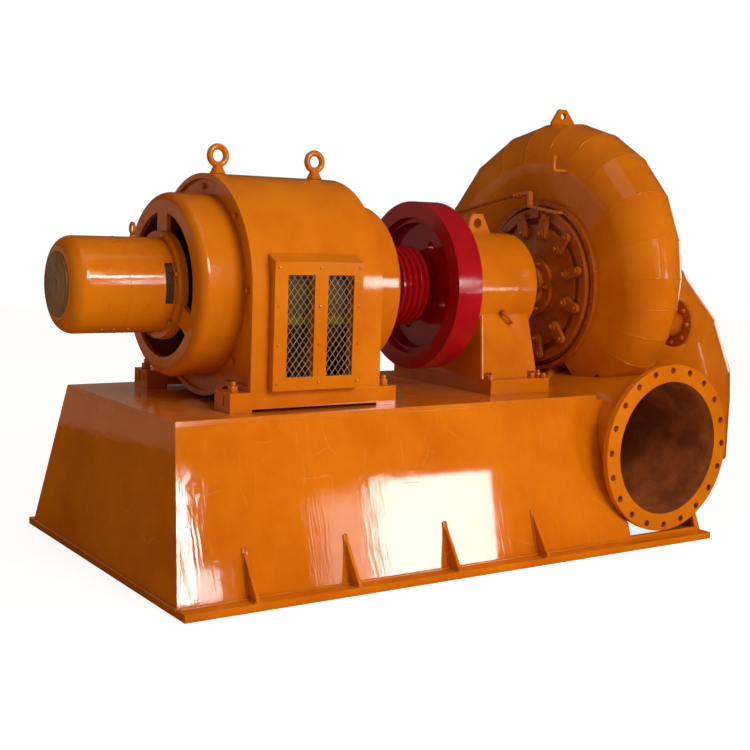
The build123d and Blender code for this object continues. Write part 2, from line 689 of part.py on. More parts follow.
# Exciter side shield: drum with arms between arc openings, its plate inside the frame
left_drum_r = GEN_R - LEFT_STEP
opening_r1 = left_drum_r - OPENING_MARGIN
opening_r0 = opening_r1 - OPENING_WIDTH
exc_ring_r = opening_r0 - OPENING_GAP
exc_r = exc_ring_r - EXC_RING_RISE
exc_disc_r = exc_r - EXC_ROUND - EXC_DISC_INSET
plate_x = gen_x0 + END_RECESS
with BuildPart() as left_shield:
    with BuildSketch(Plane.YZ.offset(plate_x)):
        with Locations((0, shaft_z)):
            Circle(GEN_R - GEN_WALL - SEAT)
        with Locations((0, feet_top + GEN_WALL + SEAT)):
            Rectangle(
                2 * (GEN_R - GEN_WALL - SEAT), shaft_z - feet_top - GEN_WALL - SEAT,
                align=(Align.CENTER, Align.MIN),
            )
        with Locations((0, shaft_z)):
            Circle(left_drum_r - SHIELD_WALL, mode=Mode.SUBTRACT)
    extrude(amount=SHIELD_PLATE)
    with BuildSketch(Plane.XZ):
        with BuildLine():
            Polyline(
                (left_drum_x, shaft_z + SHAFT_R + FREE_BORE),
                (left_drum_x, shaft_z + left_drum_r),
                (plate_x + SHIELD_PLATE, shaft_z + left_drum_r),
                (plate_x + SHIELD_PLATE, shaft_z + left_drum_r - SHIELD_WALL),
                (left_drum_x + SHIELD_WALL, shaft_z + left_drum_r - SHIELD_WALL),
                (left_drum_x + SHIELD_WALL, shaft_z + SHAFT_R + FREE_BORE),
                close=True,
            )
        make_face()
    revolve(axis=shaft_axis)
    face_edges = left_shield.edges().filter_by(GeomType.CIRCLE).group_by(Axis.X)[0]
    fillet(face_edges.sort_by(SortBy.RADIUS)[-1], DRUM_ROUND)
    with BuildSketch(Plane.YZ.offset(left_drum_x)):
        with Locations((0, shaft_z)):
            Circle(opening_r1)
            Circle(opening_r0, mode=Mode.SUBTRACT)
            with PolarLocations((opening_r0 + opening_r1) / 2, SPIDER_ARMS, start_angle=90):
                Rectangle(2 * (opening_r1 - opening_r0), SPIDER_ARM, mode=Mode.SUBTRACT)
    extrude(amount=SHIELD_WALL, mode=Mode.SUBTRACT)
left_shield.part.label = "exciter_side_shield"
export_step(left_shield.part, "parts/exciter_side_shield.step")

right_drum_r = GEN_R - RIGHT_STEP
right_plate_x = gen_x1 - END_RECESS - SHIELD_PLATE
with BuildPart() as right_shield:
    with BuildSketch(Plane.YZ.offset(right_plate_x)):
        with Locations((0, shaft_z)):
            Circle(GEN_R - GEN_WALL - SEAT)
        with Locations((0, feet_top + GEN_WALL + SEAT)):
            Rectangle(
                2 * (GEN_R - GEN_WALL - SEAT), shaft_z - feet_top - GEN_WALL - SEAT,
                align=(Align.CENTER, Align.MIN),
            )
        with Locations((0, shaft_z)):
            Circle(right_drum_r - SHIELD_WALL, mode=Mode.SUBTRACT)
    extrude(amount=SHIELD_PLATE)
    with BuildSketch(Plane.XZ):
        with BuildLine():
            Polyline(
                (right_drum_x, shaft_z + SHAFT_R + FREE_BORE),
                (right_drum_x, shaft_z + right_drum_r),
                (right_plate_x, shaft_z + right_drum_r),
                (right_plate_x, shaft_z + right_drum_r - SHIELD_WALL),
                (right_drum_x - SHIELD_WALL, shaft_z + right_drum_r - SHIELD_WALL),
                (right_drum_x - SHIELD_WALL, shaft_z + SHAFT_R + FREE_BORE),
                close=True,
            )
        make_face()
    revolve(axis=shaft_axis)
    face_edges = right_shield.edges().filter_by(GeomType.CIRCLE).group_by(Axis.X)[-1]
    fillet(face_edges.sort_by(SortBy.RADIUS)[-1], SHIELD_WALL)
right_shield.part.label = "drive_side_shield"
export_step(right_shield.part, "parts/drive_side_shield.step")

# Exciter housing with vent slots, its end cap and its screens
exc_x0 = left_drum_x - EXC_LENGTH
slot_x = left_drum_x - EXC_VENT_GAP - EXC_VENT_WIDTH / 2
slot_z = shaft_z + EXC_VENT_RISE
with BuildPart() as exciter:
    with BuildSketch(Plane.XZ):
        with BuildLine():
            Polyline(
                (exc_x0, shaft_z),
                (exc_x0, shaft_z + exc_r),
                (left_drum_x - EXC_RING_THICK, shaft_z + exc_r),
                (left_drum_x - EXC_RING_THICK, shaft_z + exc_ring_r),
                (left_drum_x, shaft_z + exc_ring_r),
                (left_drum_x, shaft_z + exc_r - EXC_WALL),
                (exc_x0 + EXC_WALL, shaft_z + exc_r - EXC_WALL),
                (exc_x0 + EXC_WALL, shaft_z),
                close=True,
            )
        make_face()
    revolve(axis=shaft_axis)
    inner_edge = exciter.edges().filter_by(GeomType.CIRCLE).group_by(Axis.X)[1]
    fillet(inner_edge.sort_by(SortBy.RADIUS)[-1], EXC_ROUND - EXC_WALL)
    fillet(exciter.edges().filter_by(GeomType.CIRCLE).sort_by(Axis.X)[0], EXC_ROUND)
    with BuildSketch(Plane.XZ.offset(exc_r)):
        with Locations((slot_x, slot_z)):
            Rectangle(EXC_VENT_WIDTH, EXC_VENT_HEIGHT)
    extrude(amount=-2 * exc_r, mode=Mode.SUBTRACT)
exciter.part.label = "exciter_housing"
export_step(exciter.part, "parts/exciter_housing.step")

exc_cells_x = int(EXC_VENT_WIDTH / EXC_CELL)
exc_cells_z = int(EXC_VENT_HEIGHT / EXC_CELL)
with BuildPart() as exciter_screens:
    with BuildSketch(Plane.YZ.offset(slot_x - EXC_VENT_WIDTH / 2 - SCREEN_LAP)):
        with Locations((0, shaft_z)):
            Circle(exc_r - EXC_WALL - SEAT)
            Circle(exc_r - EXC_WALL - SEAT - SCREEN_THICK, mode=Mode.SUBTRACT)
        with Locations((0, slot_z)):
            Rectangle(2 * exc_r, EXC_VENT_HEIGHT + 2 * SCREEN_LAP, mode=Mode.INTERSECT)
    extrude(amount=EXC_VENT_WIDTH + 2 * SCREEN_LAP)
    with BuildSketch(Plane.XZ.offset(exc_r)):
        with Locations((slot_x, slot_z)):
            with GridLocations(EXC_CELL, EXC_CELL, exc_cells_x, exc_cells_z):
                Rectangle(EXC_CELL - STRAND, EXC_CELL - STRAND)
    extrude(amount=-2 * exc_r, mode=Mode.SUBTRACT)
exciter_screens.part.label = "exciter_screens"
export_step(exciter_screens.part, "parts/exciter_screens.step")

with BuildPart() as exciter_cap:
    with BuildSketch(Plane.YZ.offset(exc_x0 - EXC_DISC_THICK)):
        with Locations((0, shaft_z)):
            Circle(exc_disc_r)
    extrude(amount=EXC_DISC_THICK)
exciter_cap.part.label = "exciter_end_cap"
export_step(exciter_cap.part, "parts/exciter_end_cap.step")

# Lifting eyes on the generator and on the exciter
eye_z = shaft_z + GEN_R + EYE_RISE
exc_eye_x = left_drum_x - EXC_EYE_AT
exc_eye_z = shaft_z + exc_r + EXC_EYE_R + EXC_EYE_BASE_R
with BuildPart() as eyes:
    for x in (gen_x0 + EYE_LEFT, gen_x1 - EYE_RIGHT):
        with BuildSketch(Plane(origin=(x, 0, shaft_z + GEN_R + SEAT), z_dir=(0, 0, 1))):
            Circle(EYE_BASE_R)
        with BuildSketch(Plane(origin=(x, 0, eye_z - EYE_R), z_dir=(0, 0, 1))):
            Circle(EYE_NECK_R)
        loft()
        with BuildSketch(Plane(origin=(x + EYE_R, 0, eye_z), x_dir=(1, 0, 0), z_dir=(0, 0, 1))):
            Circle(EYE_WIRE)
        revolve(axis=Axis((x, 0, eye_z), (0, 1, 0)))
    with BuildSketch(Plane(origin=(exc_eye_x, 0, shaft_z + exc_r + SEAT), z_dir=(0, 0, 1))):
        Circle(EXC_EYE_BASE_R)
    with BuildSketch(Plane(origin=(exc_eye_x, 0, exc_eye_z - EXC_EYE_R), z_dir=(0, 0, 1))):
        Circle(EXC_EYE_NECK_R)
    loft()
    with BuildSketch(Plane(origin=(exc_eye_x, EXC_EYE_R, exc_eye_z), x_dir=(0, 1, 0), z_dir=(0, 0, 1))):
        Circle(EXC_EYE_WIRE)
    revolve(axis=Axis((exc_eye_x, 0, exc_eye_z), (1, 0, 0)))
eyes.part.label = "lifting_eyes"
export_step(eyes.part, "parts/lifting_eyes.step")

# Shaft with its runner end inside the turbine, and the generator's rotor
shaft_x0 = left_drum_x + SHIELD_WALL - SHAFT_STUB
with BuildPart() as shaft:
    with BuildSketch(Plane.YZ.offset(shaft_x0)):
        with Locations((0, shaft_z)):
            Circle(SHAFT_R)
    extrude(amount=mid_x + FLANGE_RISE / 2 - shaft_x0)
shaft.part.label = "main_shaft"
export_step(shaft.part, "parts/main_shaft.step")

with BuildPart() as rotor:
    with BuildSketch(Plane.YZ.offset(stator_x0)):
        with Locations((0, shaft_z)):
            Circle(stator_r0 - AIR_GAP)
            Circle(SHAFT_R, mode=Mode.SUBTRACT)
    extrude(amount=stator_length)
rotor.part.label = "generator_rotor"
export_step(rotor.part, "parts/generator_rotor.step")

with BuildPart() as hub:
    with BuildSketch(Plane.XZ):
        with BuildLine():
            outline = [(hub_x0, shaft_z + SHAFT_R), (hub_x0, shaft_z + HUB_R)]
            for i in range(RIDGES):
                left = hub_x0 + i * RIDGE_PITCH + RIDGE_LAND
                outline += [
                    (left, shaft_z + HUB_R),
                    (left + RIDGE_ROOT, shaft_z + HUB_R - RIDGE_DEPTH),
                    (left + RIDGE_PITCH - RIDGE_LAND, shaft_z + HUB_R),
                ]
            outline += [(hub_end, shaft_z + HUB_R), (hub_end, shaft_z + SHAFT_R)]
            Polyline(outline, close=True)
        make_face()
    revolve(axis=shaft_axis)
hub.part.label = "coupling_hub"
export_step(hub.part, "parts/coupling_hub.step")

web_x = fly_x0 + WEB_DEPTH
rim_r0 = FLY_R - RIM_HEIGHT
step_r = rim_r0 - RIM_STEP_HEIGHT
with BuildPart() as flywheel:
    with BuildSketch(Plane.XZ):
        with BuildLine():
            Polyline(
                (hub_end, shaft_z + SHAFT_R),
                (hub_end, shaft_z + FLY_BOSS_R),
                (web_x, shaft_z + FLY_BOSS_R),
                (web_x, shaft_z + step_r),
                (fly_x0 + RIM_STEP, shaft_z + step_r),
                (fly_x0 + RIM_STEP, shaft_z + rim_r0),
                (fly_x0, shaft_z + rim_r0),
                (fly_x0, shaft_z + FLY_R),
                (fly_x1, shaft_z + FLY_R),
                (fly_x1, shaft_z + rim_r0),
                (web_x + WEB_THICK, shaft_z + step_r),
                (web_x + WEB_THICK, shaft_z + FLY_BOSS_R),
                (fly_x1 + FLY_BOSS_OUT, shaft_z + FLY_BOSS_R),
                (fly_x1 + FLY_BOSS_OUT, shaft_z + SHAFT_R),
                close=True,
            )
        make_face()
    revolve(axis=shaft_axis)
    with BuildSketch(Plane.YZ.offset(web_x)):
        with Locations((0, shaft_z)):
            with PolarLocations(WEB_HOLE_PITCH_R, WEB_HOLES, start_angle=180 + WEB_HOLE_TURN):
                Circle(WEB_HOLE_R)
    extrude(amount=WEB_THICK, mode=Mode.SUBTRACT)
flywheel.part.label = "flywheel"
export_step(flywheel.part, "parts/flywheel.step")

# Pedestal bearing: round housing on a tapered column
with BuildPart() as sole:
    with BuildSketch(Plane.XY.offset(bed_height)):
        with Locations((brg_x0 + SOLE_IN_LEFT, 0)):
            Rectangle(
                BRG_LENGTH - SOLE_IN_LEFT - SOLE_IN_RIGHT, 2 * SOLE_HALF, align=(Align.MIN, Align.CENTER)
            )
    extrude(amount=SOLE_HEIGHT)
sole.part.label = "bearing_sole_plate"
export_step(sole.part, "parts/bearing_sole_plate.step")

column_top = shaft_z - COLUMN_TOP_DROP
pocket_x = brg_x0 + COLUMN_FOOT / 2
with BuildPart() as bearing:
    with BuildSketch(Plane.XY.offset(sole_top)):
        with Locations((brg_x0 + COLUMN_FOOT / 2, 0)):
            RectangleRounded(COLUMN_FOOT, 2 * COLUMN_HALF_FOOT, COLUMN_CORNER)
    with BuildSketch(Plane.XY.offset(column_top)):
        with Locations((brg_x0 + (COLUMN_FOOT + COLUMN_LEAN_LEFT - COLUMN_LEAN_RIGHT) / 2, 0)):
            RectangleRounded(
                COLUMN_FOOT - COLUMN_LEAN_LEFT - COLUMN_LEAN_RIGHT,
                2 * (COLUMN_HALF_FOOT - COLUMN_LEAN_Y),
                COLUMN_CORNER,
            )
    loft()
    with BuildSketch(Plane.YZ.offset(brg_x0)):
        with Locations((0, shaft_z)):
            Circle(BRG_R)
    extrude(amount=BRG_LENGTH)
    # oil seal covers on both ends
    with BuildSketch(Plane.YZ.offset(brg_x0 - BRG_COVER_THICK)):
        with Locations((0, shaft_z)):
            Circle(BRG_COVER_R)
    extrude(amount=BRG_LENGTH + 2 * BRG_COVER_THICK)
    lug_place = (brg_x0 + BRG_LUG_AT, LUG_THICK / 2, shaft_z + BRG_R)
    with BuildSketch(Plane(origin=lug_place, x_dir=(1, 0, 0), z_dir=(0, -1, 0))):
        Polygon(
            lug_points(BRG_LUG_BASE, BRG_LUG_IN_LEFT, BRG_LUG_IN_RIGHT, BRG_LUG_HEIGHT, LUG_THICK),
            align=None,
        )
        with Locations(((BRG_LUG_IN_LEFT + BRG_LUG_BASE - BRG_LUG_IN_RIGHT) / 2, BRG_LUG_HEIGHT / 2)):
            Circle(BRG_LUG_HOLE_R, mode=Mode.SUBTRACT)
    extrude(amount=LUG_THICK)
    with BuildSketch(Plane.XY.offset(sole_top)):
        with Locations((pocket_x, 0)):
            with GridLocations(POCKET_SPAN, 2 * COLUMN_HALF_FOOT, 2, 2):
                Circle(POCKET_R)
    extrude(amount=POCKET_HEIGHT, mode=Mode.SUBTRACT)
    with BuildSketch(Plane.YZ.offset(brg_x0 - BRG_COVER_THICK)):
        with Locations((0, shaft_z)):
            Circle(SHAFT_R + RUN_FIT)
    extrude(amount=BRG_LENGTH + 2 * BRG_COVER_THICK, mode=Mode.SUBTRACT)
bearing.part.label = "pedestal_bearing"
export_step(bearing.part, "parts/pedestal_bearing.step")

# Turbine: spiral case from mitred plate rings in three sections, open at its wide end
low_seam, high_seam = SITE_SEAMS
low_mitres = [m for m in MITRES if m < low_seam] + [low_seam]
top_mitres = [low_seam] + [m for m in MITRES if low_seam < m < high_seam] + [high_seam]
end_mitres = [high_seam] + [m for m in MITRES if m > high_seam]
spiral_sections = (
    ("spiral_case", low_mitres, low_mitres),
    ("spiral_case_top", top_mitres, top_mitres),
    ("spiral_case_end", end_mitres, end_mitres[:-1]),
)
for name, shell_mitres, bore_mitres in spiral_sections:
    with BuildPart() as spiral_bore:
        for angle in bore_mitres:
            with BuildSketch(spiral_plane(angle)):
                Circle(spiral_radius(angle, -SPIRAL_PLATE))
        loft(ruled=True)
    with BuildPart() as spiral:
        for angle in shell_mitres:
            with BuildSketch(spiral_plane(angle)):
                Circle(spiral_radius(angle))
        loft(ruled=True)
        add(spiral_bore.part, mode=Mode.SUBTRACT)
        # the narrow end dies out on the inlet pipe
        with BuildSketch(inlet_plane):
            Circle(PIPE_R + SEAT)
        extrude(amount=-inlet_y - SEAT, mode=Mode.SUBTRACT)
    spiral.part.label = name
    export_step(spiral.part, f"parts/{name}.step")

with BuildPart() as inlet_pipe:
    with BuildSketch(inlet_plane.offset(INLET_FLANGE_THICK)):
        Circle(PIPE_R)
        Circle(PIPE_R - SPIRAL_PLATE, mode=Mode.SUBTRACT)
    extrude(amount=-inlet_y - INLET_FLANGE_THICK)
inlet_pipe.part.label = "inlet_pipe"
export_step(inlet_pipe.part, "parts/inlet_pipe.step")

with BuildPart() as inlet_flange:
    with BuildSketch(inlet_plane):
        Circle(inlet_flange_r)
        Circle(PIPE_R - SPIRAL_PLATE, mode=Mode.SUBTRACT)
        with PolarLocations(PIPE_R + BOLT_CIRCLE_RISE, INLET_HOLES, start_angle=0):
            Circle(INLET_HOLE_R, mode=Mode.SUBTRACT)
    extrude(amount=INLET_FLANGE_THICK)
inlet_flange.part.label = "inlet_flange"
export_step(inlet_flange.part, "parts/inlet_flange.step")

lug_plane = spiral_plane(SPIRAL_LUG_ANGLE)
lug_foot = spiral_radius(SPIRAL_LUG_ANGLE)
with BuildPart() as spiral_lug:
    with BuildSketch(lug_plane.offset(-LUG_THICK / 2)):
        with Locations((-SPIRAL_LUG_BASE / 2, lug_foot)):
            Rectangle(
                SPIRAL_LUG_BASE, 2 * LUG_THICK, align=(Align.MIN, Align.MAX)
            )
        with BuildLine():
            Polyline(
                (-SPIRAL_LUG_BASE / 2, lug_foot),
                (SPIRAL_LUG_IN - SPIRAL_LUG_BASE / 2, lug_foot + SPIRAL_LUG_HEIGHT),
                (SPIRAL_LUG_BASE / 2 - SPIRAL_LUG_IN, lug_foot + SPIRAL_LUG_HEIGHT),
                (SPIRAL_LUG_BASE / 2, lug_foot),
                close=True,
            )
        make_face()
        with Locations((0, lug_foot + SPIRAL_LUG_HEIGHT / 2)):
            Circle(SPIRAL_LUG_HOLE_R, mode=Mode.SUBTRACT)
    extrude(amount=LUG_THICK)
    add(spiral_room.part, mode=Mode.SUBTRACT)
spiral_lug.part.label = "spiral_lug"
export_step(spiral_lug.part, "parts/spiral_lug.step")

# Nozzle with a flange on the back of the spiral
with BuildPart() as nozzle:
    nozzle_foot = spiral_plane(NOZZLE_ANGLE).origin
    nozzle_plane = Plane(origin=nozzle_foot, x_dir=(0, 1, 0), z_dir=(1, 0, 0))
    with BuildSketch(nozzle_plane):
        Circle(NOZZLE_R)
    extrude(amount=NOZZLE_REACH)
    with BuildSketch(nozzle_plane.offset(NOZZLE_REACH - NOZZLE_FLANGE_THICK)):
        Circle(NOZZLE_FLANGE_R)
        with PolarLocations(NOZZLE_PITCH_R, NOZZLE_HOLES):
            Circle(NOZZLE_HOLE_R, mode=Mode.SUBTRACT)
    extrude(amount=NOZZLE_FLANGE_THICK)
    with BuildSketch(nozzle_plane):
        Circle(NOZZLE_R - NOZZLE_WALL)
    extrude(amount=NOZZLE_REACH, mode=Mode.SUBTRACT)
    add(spiral_room.part, mode=Mode.SUBTRACT)
nozzle.part.label = "side_nozzle"
export_step(nozzle.part, "parts/side_nozzle.step")

# Bent air cock on the front of the spiral
with BuildPart() as cock:
    cock_foot = spiral_plane(180 + COCK_ANGLE).origin
    cock_x = mid_x - spiral_radius(180 + COCK_ANGLE) - COCK_REACH
    with BuildLine() as cock_path:
        FilletPolyline(
            cock_foot,
            (cock_x, cock_foot.Y, cock_foot.Z),
            (cock_x, cock_foot.Y, cock_foot.Z + COCK_RISE),
            radius=COCK_BEND,
        )
    with BuildSketch(Plane(origin=cock_foot, x_dir=(0, 1, 0), z_dir=(-1, 0, 0))):
        Circle(COCK_R)
    sweep()
    cock_top = (cock_x, cock_foot.Y, cock_foot.Z + COCK_RISE - COCK_HEAD)
    with BuildSketch(Plane(origin=cock_top, x_dir=(1, 0, 0), z_dir=(0, 0, 1))):
        RegularPolygon(COCK_HEAD_R, 6)
    extrude(amount=COCK_HEAD)
    add(spiral_room.part, mode=Mode.SUBTRACT)
cock.part.label = "air_cock"
export_step(cock.part, "parts/air_cock.step")

# Stay ring with its fixed outer rim, the seat of the head cover
widest_mitre = max(b - a for a, b in zip(MITRES, MITRES[1:]))
stay_out = SPIRAL_IN_R * cos(radians(widest_mitre / 2)) - SEAT
rim_out = SPIRAL_IN_R + RIM_RISE
rim_in = rim_out - RIM_WALL
cover_r = rim_in - COVER_GAP
ring_r1 = cover_r - RING_INSET
ring_r0 = ring_r1 - RING_WIDTH
shoulder_r = ring_r0 - RING_LIP
pin_pitch = ring_r1 - PIN_INSET
stem_pitch = pin_pitch - LEVER_REACH
disc_r = stem_pitch + BOSS_R + BOSS_LEDGE

seat_x = mid_x - COVER_SEAT
stay_x1 = mid_x + STAY_BACK
disc_x = seat_x - COVER_DEPTH
ring_seat_x = seat_x - COVER_PLATE
shoulder_x = ring_seat_x - SHOULDER_DEPTH
ring_x0 = disc_x - RING_PROUD
boss_x = disc_x - BOSS_RISE

with BuildPart() as stay_ring:
    with BuildSketch(Plane.XZ):
        with BuildLine():
            Polyline(
                (seat_x - RIM_DEPTH, shaft_z + rim_in),
                (seat_x - RIM_DEPTH, shaft_z + rim_out),
                (seat_x + RIM_WEB, shaft_z + rim_out),
                (seat_x + RIM_WEB, shaft_z + stay_out),
                (stay_x1, shaft_z + stay_out),
                (stay_x1, shaft_z + stay_out - STAY_WIDTH),
                (seat_x, shaft_z + stay_out - STAY_WIDTH),
                (seat_x, shaft_z + rim_in),
                close=True,
            )
        make_face()
    revolve(axis=shaft_axis)
stay_ring.part.label = "stay_ring"
export_step(stay_ring.part, "parts/stay_ring.step")

# Head cover with a boss for every guide vane
lever_angles = [LEVER_PHASE + i * 360 / LEVERS for i in range(LEVERS)]
with BuildPart() as head_cover:
    with BuildSketch(Plane.XZ):
        with BuildLine():
            Polyline(
                (disc_x, shaft_z + SHAFT_R + FREE_BORE),
                (disc_x, shaft_z + disc_r),
                (shoulder_x, shaft_z + disc_r),
                (shoulder_x, shaft_z + shoulder_r),
                (ring_seat_x, shaft_z + shoulder_r),
                (ring_seat_x, shaft_z + cover_r),
                (seat_x, shaft_z + cover_r),
                (seat_x, shaft_z + SHAFT_R + FREE_BORE),
                close=True,
            )
        make_face()
    revolve(axis=shaft_axis)
    for angle in lever_angles:
        with BuildSketch(radial_plane(angle, stem_pitch, boss_x)):
            Circle(BOSS_R)
        extrude(amount=BOSS_RISE)
    for angle in lever_angles:
        with BuildSketch(radial_plane(angle, stem_pitch, boss_x)):
            Circle(STEM_R + RUN_FIT)
        extrude(amount=STEM_DEPTH + STEM_FREE, mode=Mode.SUBTRACT)
head_cover.part.label = "head_cover"
export_step(head_cover.part, "parts/head_cover.step")

# Operating ring with a slot for every lever pin and the block that carries the arm
knee_z = shaft_z + ring_r1 + KNEE_RISE
strap_slope = STRAP_DROP / (KNEE_Y - STRAP_Y)
block_top = knee_z - ARM_BAR / 2 * (1 + strap_slope**2) ** 0.5 - SEAT
with BuildPart() as ring:
    with BuildSketch(Plane.XZ):
        with BuildLine():
            Polyline(
                (ring_x0, shaft_z + ring_r0),
                (ring_x0, shaft_z + ring_r1),
                (ring_seat_x - SEAT, shaft_z + ring_r1),
                (ring_seat_x - SEAT, shaft_z + shoulder_r + SEAT),
                (shoulder_x, shaft_z + shoulder_r + SEAT),
                (shoulder_x, shaft_z + ring_r0),
                close=True,
            )
        make_face()
    revolve(axis=shaft_axis)
    with BuildSketch(Plane.YZ.offset(ring_x0 - BLOCK_DEPTH)):
        with BuildLine():
            Polyline(
                (BLOCK_Y0, shaft_z + ring_r0 + BLOCK_LEDGE),
                (BLOCK_Y0, block_top - (KNEE_Y - BLOCK_Y0) * strap_slope),
                (BLOCK_Y1, block_top - (KNEE_Y - BLOCK_Y1) * strap_slope),
                (BLOCK_Y1, shaft_z + ring_r0 + BLOCK_LEDGE),
                close=True,
            )
        make_face()
    extrude(amount=BLOCK_DEPTH)
    for angle in lever_angles:
        with BuildSketch(radial_plane(angle, pin_pitch - SLOT_TRAVEL / 2 + SLOT_OUT, ring_x0)):
            SlotCenterToCenter(SLOT_TRAVEL, 2 * (PIN_R + PIN_PLAY))
        extrude(amount=SLOT_CUT, mode=Mode.SUBTRACT)
ring.part.label = "operating_ring"
export_step(ring.part, "parts/operating_ring.step")

# Bent arm on the ring with the pin of the governor's rod
arm_x = ring_x0 - BLOCK_DEPTH
arm_pin = (ARM_Y, knee_z + ARM_RISE)
knee = (KNEE_Y, knee_z)
leg_top = (LEG_Y, knee_z + LEG_RISE)
with BuildPart() as arm:
    with BuildSketch(Plane.YZ.offset(arm_x - ARM_WIDTH / 2)):
        for start, end in (((STRAP_Y, knee_z - STRAP_DROP), knee), (knee, leg_top), (leg_top, arm_pin)):
            middle = ((start[0] + end[0]) / 2, (start[1] + end[1]) / 2)
            SlotCenterPoint(middle, end, ARM_BAR)
        with Locations(arm_pin):
            Circle(ROD_EYE_R)
    extrude(amount=ARM_WIDTH)
    with BuildSketch(Plane.YZ.offset(arm_x - ARM_WIDTH / 2)):
        with Locations(arm_pin):
            Circle(ARM_PIN_R)
    extrude(amount=-PIN_REACH)
arm.part.label = "control_arm"
export_step(arm.part, "parts/control_arm.step")

rod_end = (
    arm_pin[0] + ROD_LENGTH * cos(radians(ROD_SLOPE)),
    arm_pin[1] - ROD_LENGTH * sin(radians(ROD_SLOPE)),
)
rod_x = arm_x - ARM_WIDTH / 2 - ROD_GAP - ROD_R
with BuildPart() as rod:
    with BuildSketch(Plane.YZ.offset(rod_x - ROD_EYE_THICK / 2)):
        with Locations(arm_pin, rod_end):
            Circle(ROD_EYE_R)
    extrude(amount=ROD_EYE_THICK)
    with BuildSketch(
        Plane(
            origin=(rod_x, *arm_pin),
            x_dir=(1, 0, 0),
            z_dir=(0, rod_end[0] - arm_pin[0], rod_end[1] - arm_pin[1]),
        )
    ):
        Circle(ROD_R)
    extrude(amount=ROD_LENGTH)
    with BuildSketch(Plane.YZ.offset(rod_x - ROD_R)):
        with Locations(arm_pin, rod_end):
            Circle(ARM_PIN_R + SEAT)
    extrude(amount=2 * ROD_R, mode=Mode.SUBTRACT)
rod.part.label = "control_rod"
export_step(rod.part, "parts/control_rod.step")

# Levers of the guide vanes
lever_x = boss_x - SEAT - LEVER_THICK
for i, angle in enumerate(lever_angles, start=1):
    with BuildPart() as lever:
        with BuildSketch(radial_plane(angle, stem_pitch, lever_x)):
            Circle(LEVER_BIG_R)
            with Locations((LEVER_REACH, 0)):
                Circle(LEVER_SMALL_R)
            make_hull()
        extrude(amount=LEVER_THICK)
        with BuildSketch(radial_plane(angle, stem_pitch, lever_x - HEAD_RISE)):
            Circle(STEM_R + HEAD_RIM)
        extrude(amount=HEAD_RISE)
        with BuildSketch(radial_plane(angle, stem_pitch, lever_x)):
            Circle(STEM_R)
        extrude(amount=LEVER_THICK + STEM_DEPTH)
        with BuildSketch(radial_plane(angle, pin_pitch, lever_x)):
            Circle(PIN_R)
        extrude(amount=LEVER_THICK + PIN_DEPTH)
    lever.part.label = f"guide_lever_{i:02d}"
    export_step(lever.part, f"parts/guide_lever_{i:02d}.step")

with BuildPart() as gland:
    with BuildSketch(Plane.YZ.offset(disc_x - GLAND_LENGTH)):
        with Locations((0, shaft_z)):
            Circle(GLAND_IN_R)
    extrude(amount=GLAND_LENGTH)
    with BuildSketch(Plane.YZ.offset(disc_x - GLAND_BOX)):
        with Locations((0, shaft_z)):
            Circle(GLAND_R)
    extrude(amount=GLAND_BOX)
    with BuildSketch(Plane.YZ.offset(disc_x - GLAND_LENGTH)):
        with Locations((0, shaft_z)):
            Circle(SHAFT_R + FREE_BORE)
    extrude(amount=GLAND_LENGTH, mode=Mode.SUBTRACT)
gland.part.label = "shaft_seal"
export_step(gland.part, "parts/shaft_seal.step")

# Back of the turbine and the mitred draft tube elbow
elbow_foot = stay_x1 + BACK_COVER
elbow_x0 = mid_x + ELBOW_SETBACK
bend_z = shaft_z - ELBOW_BEND_R
with BuildPart() as back_cover:
    with BuildSketch(Plane.YZ.offset(stay_x1)):
        with Locations((0, shaft_z)):
            Circle(stay_out)
            Circle(ELBOW_R0 - ELBOW_PLATE, mode=Mode.SUBTRACT)
    extrude(amount=BACK_COVER)
back_cover.part.label = "turbine_back_cover"
export_step(back_cover.part, "parts/turbine_back_cover.step")

half_mitre = 90 / ELBOW_PIECES / 2
stretch = 1 / cos(radians(half_mitre))


def elbow_sections(grow):
    """Planes and half axes of the draft tube from its flange round the bend."""
    start = Plane(origin=(elbow_foot, 0, shaft_z), x_dir=(0, 1, 0), z_dir=(1, 0, 0))
    sections = [(start, ELBOW_R0 + grow, ELBOW_R0 + grow)]
    for i in range(ELBOW_PIECES):
        turn = (2 * i + 1) * half_mitre
        a = radians(turn)
        reach = ELBOW_BEND_R * stretch
        centre = (elbow_x0 + reach * sin(a), 0, bend_z + reach * cos(a))
        radius = ELBOW_R0 + (ELBOW_R1 - ELBOW_R0) * turn / 90 + grow
        plane = Plane(origin=centre, x_dir=(0, 1, 0), z_dir=(cos(a), 0, -sin(a)))
        sections.append((plane, radius, radius * stretch))
    end = Plane(origin=(elbow_x0 + ELBOW_BEND_R, 0, bend_z), x_dir=(0, 1, 0), z_dir=(0, 0, -1))
    sections.append((end, ELBOW_R1 + grow, ELBOW_R1 + grow))
    return sections


with BuildPart() as elbow_bore:
    for plane, across, radial in elbow_sections(-ELBOW_PLATE):
        with BuildSketch(plane):
            Ellipse(across, radial)
    loft(ruled=True)
    with BuildSketch(Plane.XY.offset(bend_z)):
        with Locations((elbow_x0 + ELBOW_BEND_R, 0)):
            Circle(ELBOW_R1 - ELBOW_PLATE)
    extrude(amount=-ELBOW_LEG)

